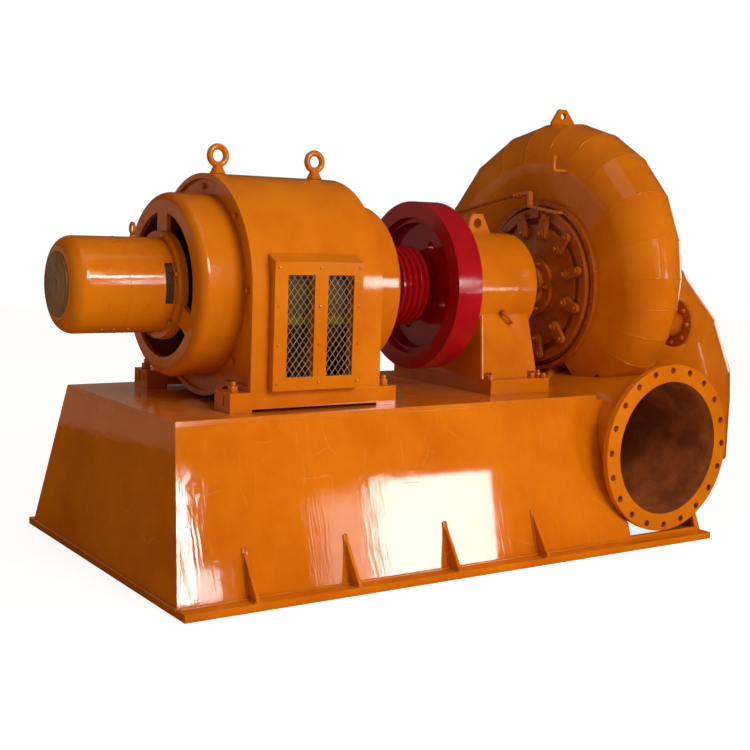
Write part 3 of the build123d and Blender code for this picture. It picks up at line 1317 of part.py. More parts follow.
with BuildPart() as elbow:
    for plane, across, radial in elbow_sections(0):
        with BuildSketch(plane):
            Ellipse(across, radial)
    loft(ruled=True)
    with BuildSketch(Plane.XY.offset(bend_z)):
        with Locations((elbow_x0 + ELBOW_BEND_R, 0)):
            Circle(ELBOW_R1)
    extrude(amount=-ELBOW_LEG)
    with BuildSketch(Plane.YZ.offset(elbow_foot)):
        with Locations((0, shaft_z)):
            Circle(ELBOW_R0 + ELBOW_FLANGE_RISE)
    extrude(amount=ELBOW_FLANGE_THICK)
    lug_place = (elbow_x0 + ELBOW_BEND_R - ELBOW_LUG_AT, LUG_THICK / 2, shaft_z + ELBOW_LUG_FOOT)
    with BuildSketch(Plane(origin=lug_place, x_dir=(1, 0, 0), z_dir=(0, -1, 0))):
        Polygon(
            lug_points(
                ELBOW_LUG_BASE, ELBOW_LUG_IN_LEFT, ELBOW_LUG_IN_RIGHT, ELBOW_LUG_HEIGHT, ELBOW_LUG_FOOT
            ),
            align=None,
        )
        with Locations(
            ((ELBOW_LUG_IN_LEFT + ELBOW_LUG_BASE - ELBOW_LUG_IN_RIGHT) / 2, 3 * ELBOW_LUG_HEIGHT / 4)
        ):
            Circle(ELBOW_LUG_HOLE_R, mode=Mode.SUBTRACT)
    extrude(amount=LUG_THICK)
    add(elbow_bore.part, mode=Mode.SUBTRACT)
elbow.part.label = "draft_tube_elbow"
export_step(elbow.part, "parts/draft_tube_elbow.step")
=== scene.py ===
# %% [markdown]
# The object is a small hydroelectric set: a generator with its exciter, a flywheel, a pedestal
# bearing and a water turbine in a spiral case, all on one welded bedplate. The main solids come
# ready from the CAD model, so this lesson gives them their paint and adds the fasteners, weld
# beads and fittings that are too small for the solids. We load the solids first, with a helper that
# gives the box of any one of them.

# %% Load the solids
import bpy
import bmesh
from math import asin, atan2, cos, pi, radians, sin, sqrt
from mathutils import Matrix, Vector


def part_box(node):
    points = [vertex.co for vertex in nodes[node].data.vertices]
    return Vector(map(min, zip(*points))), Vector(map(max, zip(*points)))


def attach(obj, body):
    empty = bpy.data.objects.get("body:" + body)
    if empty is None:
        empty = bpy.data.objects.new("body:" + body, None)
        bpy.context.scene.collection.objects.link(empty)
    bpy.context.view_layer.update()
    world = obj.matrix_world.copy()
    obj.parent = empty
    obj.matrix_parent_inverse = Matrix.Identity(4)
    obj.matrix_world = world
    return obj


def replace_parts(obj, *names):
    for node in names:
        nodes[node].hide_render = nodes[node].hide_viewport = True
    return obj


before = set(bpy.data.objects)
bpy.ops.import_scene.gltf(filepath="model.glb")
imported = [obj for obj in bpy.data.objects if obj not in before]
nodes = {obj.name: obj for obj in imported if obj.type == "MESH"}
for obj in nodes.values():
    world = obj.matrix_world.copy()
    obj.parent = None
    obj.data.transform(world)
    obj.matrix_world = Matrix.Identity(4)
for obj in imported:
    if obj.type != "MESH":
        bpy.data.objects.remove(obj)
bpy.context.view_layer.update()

# Places that the finishes and fittings share with the solids, in metres and degrees.
mid_x, shaft_z, pipe_z = 1.116, 1.147, 0.440    # turbine's middle plane, heights of shaft and inlet
pipe_r, nose_r = 0.320, 0.132                   # radius of the spiral tube at its two ends
touch_r, spiral_end = 0.387, 330                # circle that the tube touches, angle where it ends

# %% [markdown]
# The camera stands where the photographer stood: in front of the generator end, a little above
# the shaft, looking slightly down. Three unit vectors give its turn more safely than angles do.
# The small shift is the cropping of the picture.

# %% Camera
yaw, pitch, roll = radians(34.54), radians(-7.0), radians(2.04)
ahead = Vector((sin(yaw) * cos(pitch), cos(yaw) * cos(pitch), sin(pitch)))
level = ahead.cross(Vector((0, 0, 1))).normalized()
above = level.cross(ahead)
side = level * cos(roll) + above * sin(roll)
up = above * cos(roll) - level * sin(roll)
camera = bpy.data.objects.new("camera", bpy.data.cameras.new("camera"))
camera.matrix_world = Matrix((side, up, -ahead)).transposed().to_4x4()
camera.location = (-3.2382, -4.7551, 1.4250)
camera.data.lens = 60.4
camera.data.shift_x = -0.0150
camera.data.shift_y = 0.0048
bpy.context.scene.collection.objects.link(camera)
bpy.context.scene.camera = camera
bpy.context.scene.view_settings.view_transform = "Standard"
print("camera at", tuple(round(v, 3) for v in camera.location))

# %% [markdown]
# Colours are written as the hex values that a picture editor shows. Blender's sockets want linear
# light, so one function turns them. A second small function adds a shader node with its settings
# and links, which keeps every material below readable.

# %% Helpers for colours and shader nodes
def linear(hexa):
    """Linear RGBA of an sRGB hex colour."""
    parts = [int(hexa[i:i + 2], 16) / 255 for i in (1, 3, 5)]
    return [v / 12.92 if v <= 0.04045 else ((v + 0.055) / 1.055) ** 2.4 for v in parts] + [1.0]


def node(tree, kind, inputs=None, **settings):
    """Add a shader node; a socket given as an input is linked, a value is set."""
    added = tree.nodes.new("ShaderNode" + kind)
    for key, value in settings.items():
        setattr(added, key, value)
    for key, value in (inputs or {}).items():
        if isinstance(value, bpy.types.NodeSocket):
            tree.links.new(value, added.inputs[key])
        else:
            added.inputs[key].default_value = value
    return added


def new_material(name):
    """An empty node material with its output; returns material, tree and output."""
    material = bpy.data.materials.new(name)
    material.use_nodes = True
    tree = material.node_tree
    tree.nodes.clear()
    return material, tree, tree.nodes.new("ShaderNodeOutputMaterial")


print("orange in linear light", [round(v, 3) for v in linear("#E07A10")])

# %% [markdown]
# The photograph was cut out on white, so the floor is pale and seen as white by the camera, while
# it still takes the object's soft shadow. The machine stood in a dim hall, though, and its gloss
# paint mirrors that hall and not the white: so a mirrored ray finds a dark floor and a dark world,
# and only the lamps are bright. Light Path tells these rays from one another. The world's soft
# light is stronger from the turbine's end than from the exciter's, which stood in shade.

# %% Floor and world
floor_mesh = bmesh.new()
bmesh.ops.create_grid(floor_mesh, x_segments=1, y_segments=1, size=14.0)
bmesh.ops.translate(floor_mesh, verts=floor_mesh.verts, vec=(0, 0, -0.0005))
floor_data = bpy.data.meshes.new("floor")
floor_mesh.to_mesh(floor_data)
floor = bpy.data.objects.new("floor", floor_data)
bpy.context.scene.collection.objects.link(floor)

pale, tree, out = new_material("pale_floor_paint")
rays = node(tree, "LightPath")
tone = node(tree, "Mix", {0: rays.outputs["Is Glossy Ray"], 6: linear("#F2F1EF"),
                          7: linear("#3A2A20")}, data_type="RGBA")
matt = node(tree, "BsdfDiffuse", {"Color": tone.outputs[2]})
glow = node(tree, "Emission", {"Color": (1, 1, 1, 1), "Strength": 1.4})
seen = node(tree, "Math", {0: rays.outputs["Is Camera Ray"], 1: 0.62}, operation="MULTIPLY")
both = node(tree, "MixShader", {0: seen.outputs[0], 1: matt.outputs[0], 2: glow.outputs[0]})
tree.links.new(both.outputs[0], out.inputs["Surface"])
floor_data.materials.append(pale)

world = bpy.data.worlds.new("studio")
bpy.context.scene.world = world
world.use_nodes = True
tree = world.node_tree
tree.nodes.clear()
rays = node(tree, "LightPath")
way = node(tree, "SeparateXYZ", {0: node(tree, "TexCoord").outputs["Generated"]})
sky = node(tree, "MapRange", {"Value": way.outputs[0], 1: -0.7, 2: 0.5, 3: 0.27, 4: 0.58})
power = node(tree, "MapRange", {"Value": rays.outputs["Is Glossy Ray"], 3: sky.outputs[0], 4: 0.05})
plain = node(tree, "Background", {"Color": linear("#F2DCC6"), "Strength": power.outputs[0]})
white = node(tree, "Background", {"Color": (1, 1, 1, 1), "Strength": 1.0})
clear = node(tree, "Math", {0: rays.outputs["Is Camera Ray"],
                            1: rays.outputs["Is Transmission Ray"]}, operation="MAXIMUM")
both = node(tree, "MixShader", {0: clear.outputs[0], 1: plain.outputs[0], 2: white.outputs[0]})
out = tree.nodes.new("ShaderNodeOutputWorld")
tree.links.new(both.outputs[0], out.inputs["Surface"])
print("floor and world ready")

# %% [markdown]
# Gloss enamel shows what it reflects. In the hall, windows to the front right are mirrored in the
# leaning wall as one large bright patch with a sharp right edge, a dim one beside it, and a slit
# with a low patch near the left corner. Small lamps stand for those windows, where the mirrored
# view of the wall meets them. One more draws the bright lines along the drums, and another the
# glint beside the bearing. A large lamp high in front gives most of the soft light, from where the
# walls don't mirror it into the camera, and the roof gives a little. Three more light the back.

# %% Lamps
def lamp(name, at, target, width, height, watts, tint="#FFFFFF", roll=0.0, spread=180.0):
    """Rectangular area lamp that faces its target; roll and spread of the beam are in degrees."""
    data = bpy.data.lights.new(name, "AREA")
    data.shape = "RECTANGLE"
    data.size, data.size_y = width, height
    data.energy = watts
    data.color = linear(tint)[:3]
    data.spread = radians(spread)
    placed = bpy.data.objects.new(name, data)
    facing = (Vector(target) - Vector(at)).to_track_quat("-Z", "Y").to_matrix().to_4x4()
    placed.matrix_world = facing @ Matrix.Rotation(radians(roll), 4, "Z")
    placed.location = at
    bpy.context.scene.collection.objects.link(placed)


day, beam = "#FFFBF8", 60       # tint and spread of the windows
lamp("window_near", (3.33, -5.33, 1.73), (0.0, -0.72, 0.18), 1.06, 1.00, 6.6, day, -14, beam)
lamp("window_dim", (2.55, -5.57, 1.76), (-0.62, -0.72, 0.16), 0.46, 0.92, 0.5, day, -10, beam)
lamp("window_slit", (1.17, -5.83, 2.11), (-1.31, -0.69, 0.26), 0.12, 1.05, 1.6, day, -13, beam)
lamp("window_low", (1.32, -5.89, 1.72), (-1.23, -0.73, 0.13), 0.26, 0.24, 0.25, day, -12, beam)
lamp("window_high", (1.00, -5.60, 3.40), (-1.30, -0.20, 1.15), 0.80, 0.40, 3.4, day, 0, beam)
lamp("window_side", (4.75, -5.60, 0.75), (0.5, -0.30, 0.95), 0.30, 0.50, 0.7, day, 0, beam)
lamp("front_light", (0.2, -6.6, 4.3), (0.1, 0.0, 0.7), 2.0, 2.2, 188, "#FFF4E6")
lamp("roof", (-0.9, -1.4, 4.8), (0.2, 0.0, 0.9), 2.4, 2.4, 10, "#FFF9F2")
lamp("hall_back", (1.6, 6.8, 1.7), (-0.6, 0.0, 0.7), 3.0, 1.4, 2.0, "#FFF0E0")
lamp("hall_end", (-4.6, 6.2, 1.2), (-0.6, 0.0, 1.0), 4.6, 2.8, 9.0, "#FFE9DC")
lamp("window_back", (7.5, 2.25, 1.5), (1.9, 0.0, 0.8), 3.0, 1.8, 4.0, day, 0, beam)

# %% [markdown]
# Water runs inside the inlet pipe and the spiral, and there the steel is rusty brown, not orange.
# Each of these solids is one mesh with an outside and an inside, so the paint has to know on which
# side a point lies. We work out the middle line of the tube beside that point, straight for the
# pipe and curved for the spiral: where the surface faces it, the point is inside.

# %% Inside and outside of a tube
def facing_in(tree, place, middle):
    """1 on the surfaces of a tube that face its middle line, 0 on the others."""
    away = node(tree, "VectorMath", {0: place, 1: middle}, operation="SUBTRACT")
    normal = node(tree, "NewGeometry").outputs["Normal"]
    outward = node(tree, "VectorMath", {0: away.outputs[0], 1: normal}, operation="DOT_PRODUCT")
    inward = node(tree, "Math", {0: outward.outputs["Value"], 1: -0.05}, operation="LESS_THAN")
    return inward.outputs[0]


def pipe_middle(tree, place):
    """Point of the inlet pipe's middle line beside a place."""
    parts = node(tree, "SeparateXYZ", {0: place})
    return node(tree, "CombineXYZ", {0: mid_x, 1: parts.outputs[1], 2: pipe_z}).outputs[0]


def spiral_middle(tree, place):
    """Point of the spiral tube's middle line beside a place, by the taper of the CAD model."""
    parts = node(tree, "SeparateXYZ", {0: place})
    down = node(tree, "Math", {0: shaft_z, 1: parts.outputs[2]}, operation="SUBTRACT").outputs[0]
    turn = node(tree, "Math", {0: parts.outputs[1], 1: down}, operation="ARCTAN2").outputs[0]
    turn = node(tree, "Math", {0: turn, 1: 2 * pi, 2: 0.0}, operation="WRAP").outputs[0]
    share = node(tree, "Math", {0: turn, 1: radians(spiral_end)}, operation="DIVIDE").outputs[0]
    curve = node(tree, "Math", {0: share, 1: -0.15, 2: 1.15}, operation="MULTIPLY_ADD").outputs[0]
    drop = node(tree, "Math", {0: curve, 1: share}, operation="MULTIPLY").outputs[0]
    reach = node(tree, "Math", {0: drop, 1: nose_r - pipe_r, 2: touch_r + pipe_r},
                 operation="MULTIPLY_ADD").outputs[0]
    sine = node(tree, "Math", {0: turn}, operation="SINE").outputs[0]
    cosine = node(tree, "Math", {0: turn}, operation="COSINE").outputs[0]
    y = node(tree, "Math", {0: reach, 1: sine}, operation="MULTIPLY").outputs[0]
    fall = node(tree, "Math", {0: reach, 1: cosine}, operation="MULTIPLY").outputs[0]
    z = node(tree, "Math", {0: shaft_z, 1: fall}, operation="SUBTRACT").outputs[0]
    return node(tree, "CombineXYZ", {0: mid_x, 1: y, 2: z}).outputs[0]


print("spiral tube radius", pipe_r, "to", nose_r, "over", spiral_end, "degrees")

# %% [markdown]
# The walls of the bedplate show how they were handled. Near two places, one left of the middle and
# one at the left corner, the paint ran and wrinkled. Fine pale scratches and cracks lie thinly all
# over. They are noise and cells, stretched to the width and length of a mark and then cut high, so
# that only a few of them are left.

# %% Marks of handling
run_width, run_length = 0.012, 0.22         # one run of paint, metres


def streaks(tree, place, turn, width, length, low, high):
    """Lines at an angle in the plane of the long walls: noise stretched to a size and cut high."""
    across = node(tree, "Mapping", {"Vector": place, "Rotation": (0, radians(turn), 0),
                                    "Scale": (1 / width, 1.0, 1 / length)})
    noise = node(tree, "TexNoise", {"Vector": across.outputs[0], "Scale": 1.0, "Detail": 1.0})
    return node(tree, "MapRange", {"Value": noise.outputs["Fac"], 1: low, 2: high}).outputs[0]


def near_x(tree, parts, middle, full, none):
    """1 near a place along the machine, falling to 0 away from it."""
    away = node(tree, "Math", {0: parts.outputs[0], 1: -middle}, operation="ADD").outputs[0]
    away = node(tree, "Math", {0: away}, operation="ABSOLUTE").outputs[0]
    return node(tree, "MapRange", {"Value": away, 1: full, 2: none, 3: 1.0, 4: 0.0}).outputs[0]


def handling_marks(tree, place):
    """Bump height and paleness of a wall that was handled: runs, wrinkles, scratches and specks."""
    parts = node(tree, "SeparateXYZ", {0: place})
    bend = node(tree, "TexNoise", {"Vector": place, "Scale": 6.0, "Detail": 1.0})      # 170 mm
    bent = node(tree, "VectorMath", {0: bend.outputs["Color"], 1: (0.05, 0.05, 0.05), 2: place},
                operation="MULTIPLY_ADD").outputs[0]
    rubbed = node(tree, "Math", {0: near_x(tree, parts, -0.64, 0.16, 0.38),
                                 1: near_x(tree, parts, -1.32, 0.05, 0.16)},
                  operation="MAXIMUM").outputs[0]
    area = node(tree, "TexNoise", {"Vector": place, "Scale": 7.0, "Detail": 2.0})      # 140 mm
    uneven = node(tree, "MapRange", {"Value": area.outputs["Fac"], 1: 0.36, 2: 0.62}).outputs[0]
    worn = node(tree, "Math", {0: rubbed, 1: uneven}, operation="MULTIPLY").outputs[0]
    runs = streaks(tree, bent, 0, run_width, run_length, 0.48, 0.72)
    lines = streaks(tree, bent, 3, 0.005, 0.22, 0.72, 0.77)
    for turn, width, length in ((-38, 0.005, 0.16), (31, 0.005, 0.13)):
        more = streaks(tree, bent, turn, width, length, 0.75, 0.79)
        lines = node(tree, "Math", {0: lines, 1: more}, operation="MAXIMUM").outputs[0]
    cells = node(tree, "TexVoronoi", {"Vector": bent, "Scale": 4.0},                    # 250 mm
                 feature="DISTANCE_TO_EDGE")
    thin = node(tree, "MapRange", {"Value": cells.outputs["Distance"], 1: 0.0, 2: 0.010,
                                   3: 1.0, 4: 0.0})
    broken = node(tree, "TexNoise", {"Vector": place, "Scale": 7.0, "Detail": 2.0})
    some = node(tree, "MapRange", {"Value": broken.outputs["Fac"], 1: 0.58, 2: 0.62}).outputs[0]
    scratch = node(tree, "Math", {0: thin.outputs[0], 1: some, 2: lines},
                   operation="MULTIPLY_ADD").outputs[0]
    dots = node(tree, "TexNoise", {"Vector": place, "Scale": 170.0, "Detail": 0.0})    # 6 mm
    specks = node(tree, "MapRange", {"Value": dots.outputs["Fac"], 1: 0.76, 2: 0.84}).outputs[0]
    wrinkle = node(tree, "TexNoise", {"Vector": place, "Scale": 150.0, "Detail": 2.0})  # 7 mm
    relief = node(tree, "Math", {0: wrinkle.outputs["Fac"], 1: runs}, operation="ADD").outputs[0]
    relief = node(tree, "Math", {0: relief, 1: worn}, operation="MULTIPLY").outputs[0]
    height = node(tree, "Math", {0: scratch, 1: 0.5, 2: relief},
                  operation="MULTIPLY_ADD").outputs[0]
    height = node(tree, "Math", {0: specks, 1: 0.8, 2: height}, operation="MULTIPLY_ADD").outputs[0]
    return height, node(tree, "Math", {0: scratch, 1: 0.16}, operation="MULTIPLY").outputs[0]


print("runs", run_width * 1000, "mm wide and", run_length * 1000, "mm long")

# %% [markdown]
# The paint is a sprayed alkyd enamel over plate and castings: a deep orange with a gloss top. Its
# colour drifts in clouds about 450 mm wide. The gloss has an orange peel about 8 mm across, over
# slower waves of the spray gun. The Bevel node rounds the light on sharp plate edges by 2 mm, and
# Ambient Occlusion turns the colour darker in the corners, in patches, towards a deep tone of each
# paint.

# %% Gloss enamel
# A noise of scale s has one cloud every 1000 / s millimetres.
drift_scale = 2.2       # drift of the colour, 450 mm
rust_scale = 5.0        # rust inside the tubes, 200 mm
wave_scale = 14.0       # waves of the spray gun, 70 mm
patch_scale = 28.0      # patches of the darker corners and of the gloss, 36 mm
peel_scale = 125.0      # orange peel, 8 mm


def enamel(name, light, deep, corner_colour, rough, peel=0.10, marked=0.0, middle=None):
    """Gloss enamel on metal; light and deep are the two ends of its colour drift."""
    material, tree, out = new_material(name)
    place = node(tree, "TexCoord").outputs["Object"]
    drift = node(tree, "TexNoise", {"Vector": place, "Scale": drift_scale, "Detail": 5.0,
                                    "Roughness": 0.6})
    drift_ramp = node(tree, "MapRange", {"Value": drift.outputs["Fac"], 1: 0.36, 2: 0.66})
    coat = node(tree, "Mix", {0: drift_ramp.outputs[0], 6: linear(deep), 7: linear(light)},
                data_type="RGBA")
    # Darker colour in the corners that Ambient Occlusion finds, in patches.
    corner = node(tree, "AmbientOcclusion", {"Distance": 0.030}, samples=6)
    edge = node(tree, "MapRange", {"Value": corner.outputs["AO"], 1: 0.35, 2: 0.85,
                                   3: 0.55, 4: 0.0})
    patchy = node(tree, "TexNoise", {"Vector": place, "Scale": patch_scale, "Detail": 4.0})
    corner_darkening = node(tree, "Math", {0: edge.outputs[0], 1: patchy.outputs["Fac"]}, operation="MULTIPLY")
    darker_in_corners = node(tree, "Mix", {0: corner_darkening.outputs[0], 6: coat.outputs[2], 7: linear(corner_colour)},
                  data_type="RGBA")
    colour = darker_in_corners.outputs[2]
    fine = node(tree, "TexNoise", {"Vector": place, "Scale": peel_scale, "Detail": 2.0})
    wavy = node(tree, "TexNoise", {"Vector": place, "Scale": wave_scale, "Detail": 2.0})
    grain = node(tree, "Math", {0: fine.outputs["Fac"], 1: 0.3 if marked else 1.0},
                 operation="MULTIPLY")
    waves = node(tree, "Math", {0: wavy.outputs["Fac"], 1: 3.0, 2: grain.outputs[0]},
                 operation="MULTIPLY_ADD")
    height = waves.outputs[0]
    gloss = node(tree, "MapRange", {"Value": patchy.outputs["Fac"], 1: 0.3, 2: 0.7,
                                    3: rough * 0.7, 4: rough * 1.5})
    shine = gloss.outputs[0]
    if marked:
        marks, pale = handling_marks(tree, place)
        colour = node(tree, "Mix", {0: pale, 6: colour, 7: linear("#F4B878")},
                      data_type="RGBA").outputs[2]
        height = node(tree, "Math", {0: marks, 1: marked, 2: height},
                      operation="MULTIPLY_ADD").outputs[0]
    if middle:
        inside = facing_in(tree, place, middle(tree, place))
        rust = node(tree, "TexNoise", {"Vector": place, "Scale": rust_scale, "Detail": 6.0,
                                       "Roughness": 0.65})
        rust_ramp = node(tree, "MapRange", {"Value": rust.outputs["Fac"], 1: 0.42, 2: 0.62})
        lining = node(tree, "Mix", {0: rust_ramp.outputs[0], 6: linear("#8A4A26"),
                                    7: linear("#C06C34")}, data_type="RGBA")
        colour = node(tree, "Mix", {0: inside, 6: colour, 7: lining.outputs[2]},
                      data_type="RGBA").outputs[2]
        shine = node(tree, "Mix", {0: inside, 2: shine, 3: 0.55}, data_type="FLOAT").outputs[0]
    round_edges = node(tree, "Bevel", {"Radius": 0.0022}, samples=4)
    bump = node(tree, "Bump", {"Height": height, "Strength": peel, "Distance": 0.002,
                               "Normal": round_edges.outputs[0]})
    shader = node(tree, "BsdfPrincipled", {"Base Color": colour, "Roughness": shine, "IOR": 1.52,
                                           "Normal": bump.outputs[0]})
    tree.links.new(shader.outputs[0], out.inputs["Surface"])
    return material


# Sprayed over rolled plate: a gloss coat with a slight orange peel.
orange = enamel("orange_gloss_enamel", "#E07E10", "#CC6A08", "#6E2408", 0.10)
# The same on the large flat walls: smooth enough to mirror, with the marks of handling.
orange_wall = enamel("orange_enamel_scratched", "#E27C0C", "#D06A08", "#6E2408", 0.03, 0.012, 8.0)
# The same on the water passages, whose inside is matt and rusty.
orange_pipe = enamel("orange_enamel_primed_bore", "#E07E10", "#CC6A08", "#6E2408", 0.10,
                     middle=pipe_middle)
orange_spiral = enamel("orange_enamel_on_spiral", "#E07E10", "#CC6A08", "#6E2408", 0.10,
                       middle=spiral_middle)
# Brushed over rough castings: thicker, duller and more uneven.
orange_cast = enamel("orange_enamel_on_castings", "#C8660C", "#A9500A", "#5A1E08", 0.20, 0.22)
# Sprayed over turned iron: a deep red gloss.
red = enamel("red_gloss_enamel", "#B80F1C", "#960A16", "#3C0508", 0.12, 0.08)
# Primer on pressed sheet: brown and dull.
brown = enamel("brown_primed_sheet", "#9A7248", "#84603A", "#3E2A1A", 0.42, 0.12)
print("enamels ready")

# %% [markdown]
# The remaining finishes are bare or dull. The wire in the windows is dipped in zinc, which leaves a
# pale, slightly spangled skin with the warm tint of the paint around it. The shaft is turned steel:
# it shows fine rings round its axis, so its noise is squeezed along X. The rotor is iron under
# black oxide.

# %% Wire, turned steel and black iron
def plain_metal(name, light, deep, rough, metallic, scale, stretch=(1, 1, 1), strength=0.1):
    """Metal or dull coating with a stretched grain in colour, gloss and bump."""
    material, tree, out = new_material(name)
    place = node(tree, "TexCoord").outputs["Object"]
    grain_place = node(tree, "Mapping", {"Vector": place, "Scale": stretch})
    grain = node(tree, "TexNoise", {"Vector": grain_place.outputs[0], "Scale": scale,
                                    "Detail": 4.0})
    coat = node(tree, "Mix", {0: grain.outputs["Fac"], 6: linear(deep), 7: linear(light)},
                data_type="RGBA")
    shine = node(tree, "MapRange", {"Value": grain.outputs["Fac"], 1: 0.3, 2: 0.7,
                                    3: rough * 0.8, 4: rough * 1.2})
    round_edges = node(tree, "Bevel", {"Radius": 0.001}, samples=4)
    bump = node(tree, "Bump", {"Height": grain.outputs["Fac"], "Strength": strength,
                               "Distance": 0.0008, "Normal": round_edges.outputs[0]})
    shader = node(tree, "BsdfPrincipled", {"Base Color": coat.outputs[2],
                                           "Roughness": shine.outputs[0], "Metallic": metallic,
                                           "Normal": bump.outputs[0]})
    tree.links.new(shader.outputs[0], out.inputs["Surface"])
    return material


wire = plain_metal("galvanised_wire", "#DCC0A0", "#A88662", 0.40, 0.3, 60.0)        # spangle 17 mm
steel = plain_metal("turned_steel", "#B9B4AC", "#7C766E", 0.30, 1.0, 30.0, (40, 1, 1), 0.25)
iron = plain_metal("black_oxide_iron", "#38302C", "#1C1816", 0.55, 0.3, 50.0)       # cloud 20 mm
print("turning marks", round(1000 / (30.0 * 40), 2), "mm apart")

# %% [markdown]
# Through the windows one sees the stator, its coil heads lacquered a yellow green. The height
# decides where light and shade are painted on this one mesh: a painted lit band above a sharp line,
# the frame's painted shadow above that band, and painted shade in dark brown below the line. Fine
# bands along the shaft, in the bump, stand for the stacked core plates.

# %% Lacquered winding with painted light and shade
painted_light_low_z, painted_frame_shadow_z = 1.020, 1.052      # painted light above the first height, the frame's painted shadow above the second
winding, tree, out = new_material("lacquered_winding_painted_light")
place = node(tree, "TexCoord").outputs["Object"]
parts = node(tree, "SeparateXYZ", {0: place})
cloudy = node(tree, "TexNoise", {"Vector": place, "Scale": 24.0, "Detail": 4.0})
level_z = node(tree, "Math", {0: cloudy.outputs["Fac"], 1: 0.02, 2: parts.outputs[2]},
               operation="MULTIPLY_ADD")
# Painted light: the lacquer shows only above this line, and painted shade lies below it.
painted_light_above = node(tree, "MapRange", {"Value": level_z.outputs[0], 1: painted_light_low_z, 2: painted_light_low_z + 0.006})
# Painted shadow of the frame: darker again above the second height.
rim = node(tree, "MapRange", {"Value": level_z.outputs[0], 1: painted_frame_shadow_z, 2: painted_frame_shadow_z + 0.008,
                              3: 1.0, 4: 0.35})
lacquer = node(tree, "Mix", {0: cloudy.outputs["Fac"], 6: linear("#6E5410"), 7: linear("#8E8420")},
               data_type="RGBA")
painted_lit_band = node(tree, "Math", {0: painted_light_above.outputs[0], 1: rim.outputs[0]}, operation="MULTIPLY")
# Painted shade in dark brown, painted light in the lacquer's colour.
coat = node(tree, "Mix", {0: painted_lit_band.outputs[0], 6: linear("#40200F"), 7: lacquer.outputs[2]},
            data_type="RGBA")
plates = node(tree, "TexWave", {"Vector": place, "Scale": 60.0, "Distortion": 0.4},
              bands_direction="X")
bump = node(tree, "Bump", {"Height": plates.outputs["Fac"], "Strength": 0.5, "Distance": 0.001})
shader = node(tree, "BsdfPrincipled", {"Base Color": coat.outputs[2], "Roughness": 0.5,
                                       "Normal": bump.outputs[0]})
tree.links.new(shader.outputs[0], out.inputs["Surface"])
print("materials", len(bpy.data.materials))

# %% [markdown]
# Each CAD solid now gets its paint. The solids carry the shape already, so only their material
# slot changes. The machine is orange all over except for the red flywheel and hub, the brown end
# sheet of the exciter, the wire screens and the parts inside the generator.

# %% Paint the solids
finishes = {
    "front_wall": orange_wall, "back_wall": orange_wall, "left_end_plate": orange_wall,
    "right_end_plate": orange_wall, "inlet_pipe": orange_pipe, "inlet_flange": orange_pipe,
    "spiral_case": orange_spiral, "spiral_case_top": orange_spiral,
    "spiral_case_end": orange_spiral, "coupling_hub": red, "flywheel": red, "exciter_end_cap": brown,
    "vent_screens": wire, "exciter_screens": wire, "stator": winding, "main_shaft": steel,
    "generator_rotor": iron, "head_cover": orange_cast, "operating_ring": orange_cast,
    # The side nozzle gets the darker enamel of the castings as painted shade, for the spiral's
    # shadow on it.
    "shaft_seal": orange_cast, "side_nozzle": orange_cast, "stay_ring": orange_cast,
    "control_rod": orange_cast,
}
for name, solid in nodes.items():
    chosen = finishes.get(name, orange_cast if name.startswith("guide_lever") else orange)
    solid.data.materials.clear()
    solid.data.materials.append(chosen)
print("painted", len(nodes), "solids")

# %% [markdown]
# Fasteners and weld beads are the same few shapes many times over, so a handful of small makers
# is enough. Each one adds its shape to a bmesh at a place and along an axis. A hexagon head is a
# six-sided cone of equal radii whose top edges are bevelled, as the chamfer of a real bolt is.

# %% Makers for fasteners
def stand(at, axis, turn=0.0):
    """Matrix that puts a shape built along Z at a place along an axis."""
    tip = Vector((0, 0, 1)).rotation_difference(Vector(axis)).to_matrix().to_4x4()
    return Matrix.Translation(at) @ tip @ Matrix.Rotation(turn, 4, "Z")


def disc(bm, at, axis, radius, height, segments=24, chamfer=0.0, turn=0.0):
    """Disc or bar that stands on its place; its far edge may be chamfered."""
    place = stand(at, axis, turn) @ Matrix.Translation((0, 0, height / 2))
    made = bmesh.ops.create_cone(bm, cap_ends=True, segments=segments, radius1=radius,
                                 radius2=radius, depth=height, matrix=place)
    if chamfer:
        far = Vector(at) + Vector(axis).normalized() * height
        rim = [e for e in {e for v in made["verts"] for e in v.link_edges}
               if all(abs((v.co - far).dot(Vector(axis).normalized())) < 1e-5 for v in e.verts)]
        bmesh.ops.bevel(bm, geom=rim, offset=chamfer, segments=2, profile=0.5, affect="EDGES",
                        material=-1)


def hex_bolt(bm, at, axis, across, height, turn=0.0, washer=True, stud=0.0):
    """Hexagon head or nut on a washer, with the end of its stud if it has one."""
    along = Vector(axis).normalized()
    base = Vector(at)
    if washer:
        disc(bm, base, axis, across * 0.62, across * 0.10, 24)
        base = base + along * across * 0.10
    disc(bm, base, axis, across / sqrt(3), height, 6, across * 0.07, turn)
    if stud:
        disc(bm, base + along * height, axis, across * 0.30, stud, 16, across * 0.05)


def ring_bead(bm, centre, axis, radius, thick, steps=72):
    """Round bead of weld that runs once round an axis."""
    place = stand(centre, axis)
    out_to = place @ Vector((radius, 0, 0))
    round_way = place.to_3x3() @ Vector((0, 1, 0))
    section = bmesh.ops.create_circle(bm, segments=8, radius=thick,
                                      matrix=stand(out_to, round_way))["verts"]
    outline = [e for e in bm.edges if all(v in section for v in e.verts)]
    bmesh.ops.spin(bm, geom=section + outline, cent=centre, axis=Vector(axis), angle=2 * pi,
                   steps=steps, use_merge=True)


def straight_bead(bm, start, end, thick, sides=10):
    """Round bar or bead of weld between two points."""
    way = Vector(end) - Vector(start)
    disc(bm, start, way, thick, way.length, sides)


print("makers ready")

# %% [markdown]
# Every bmesh ends as a named piece that rides on one body of the machine, so that it moves when the
# body does. Its faces are turned outwards, edges sharper than a given angle stay crisp, and it gets
# the material it is painted with.


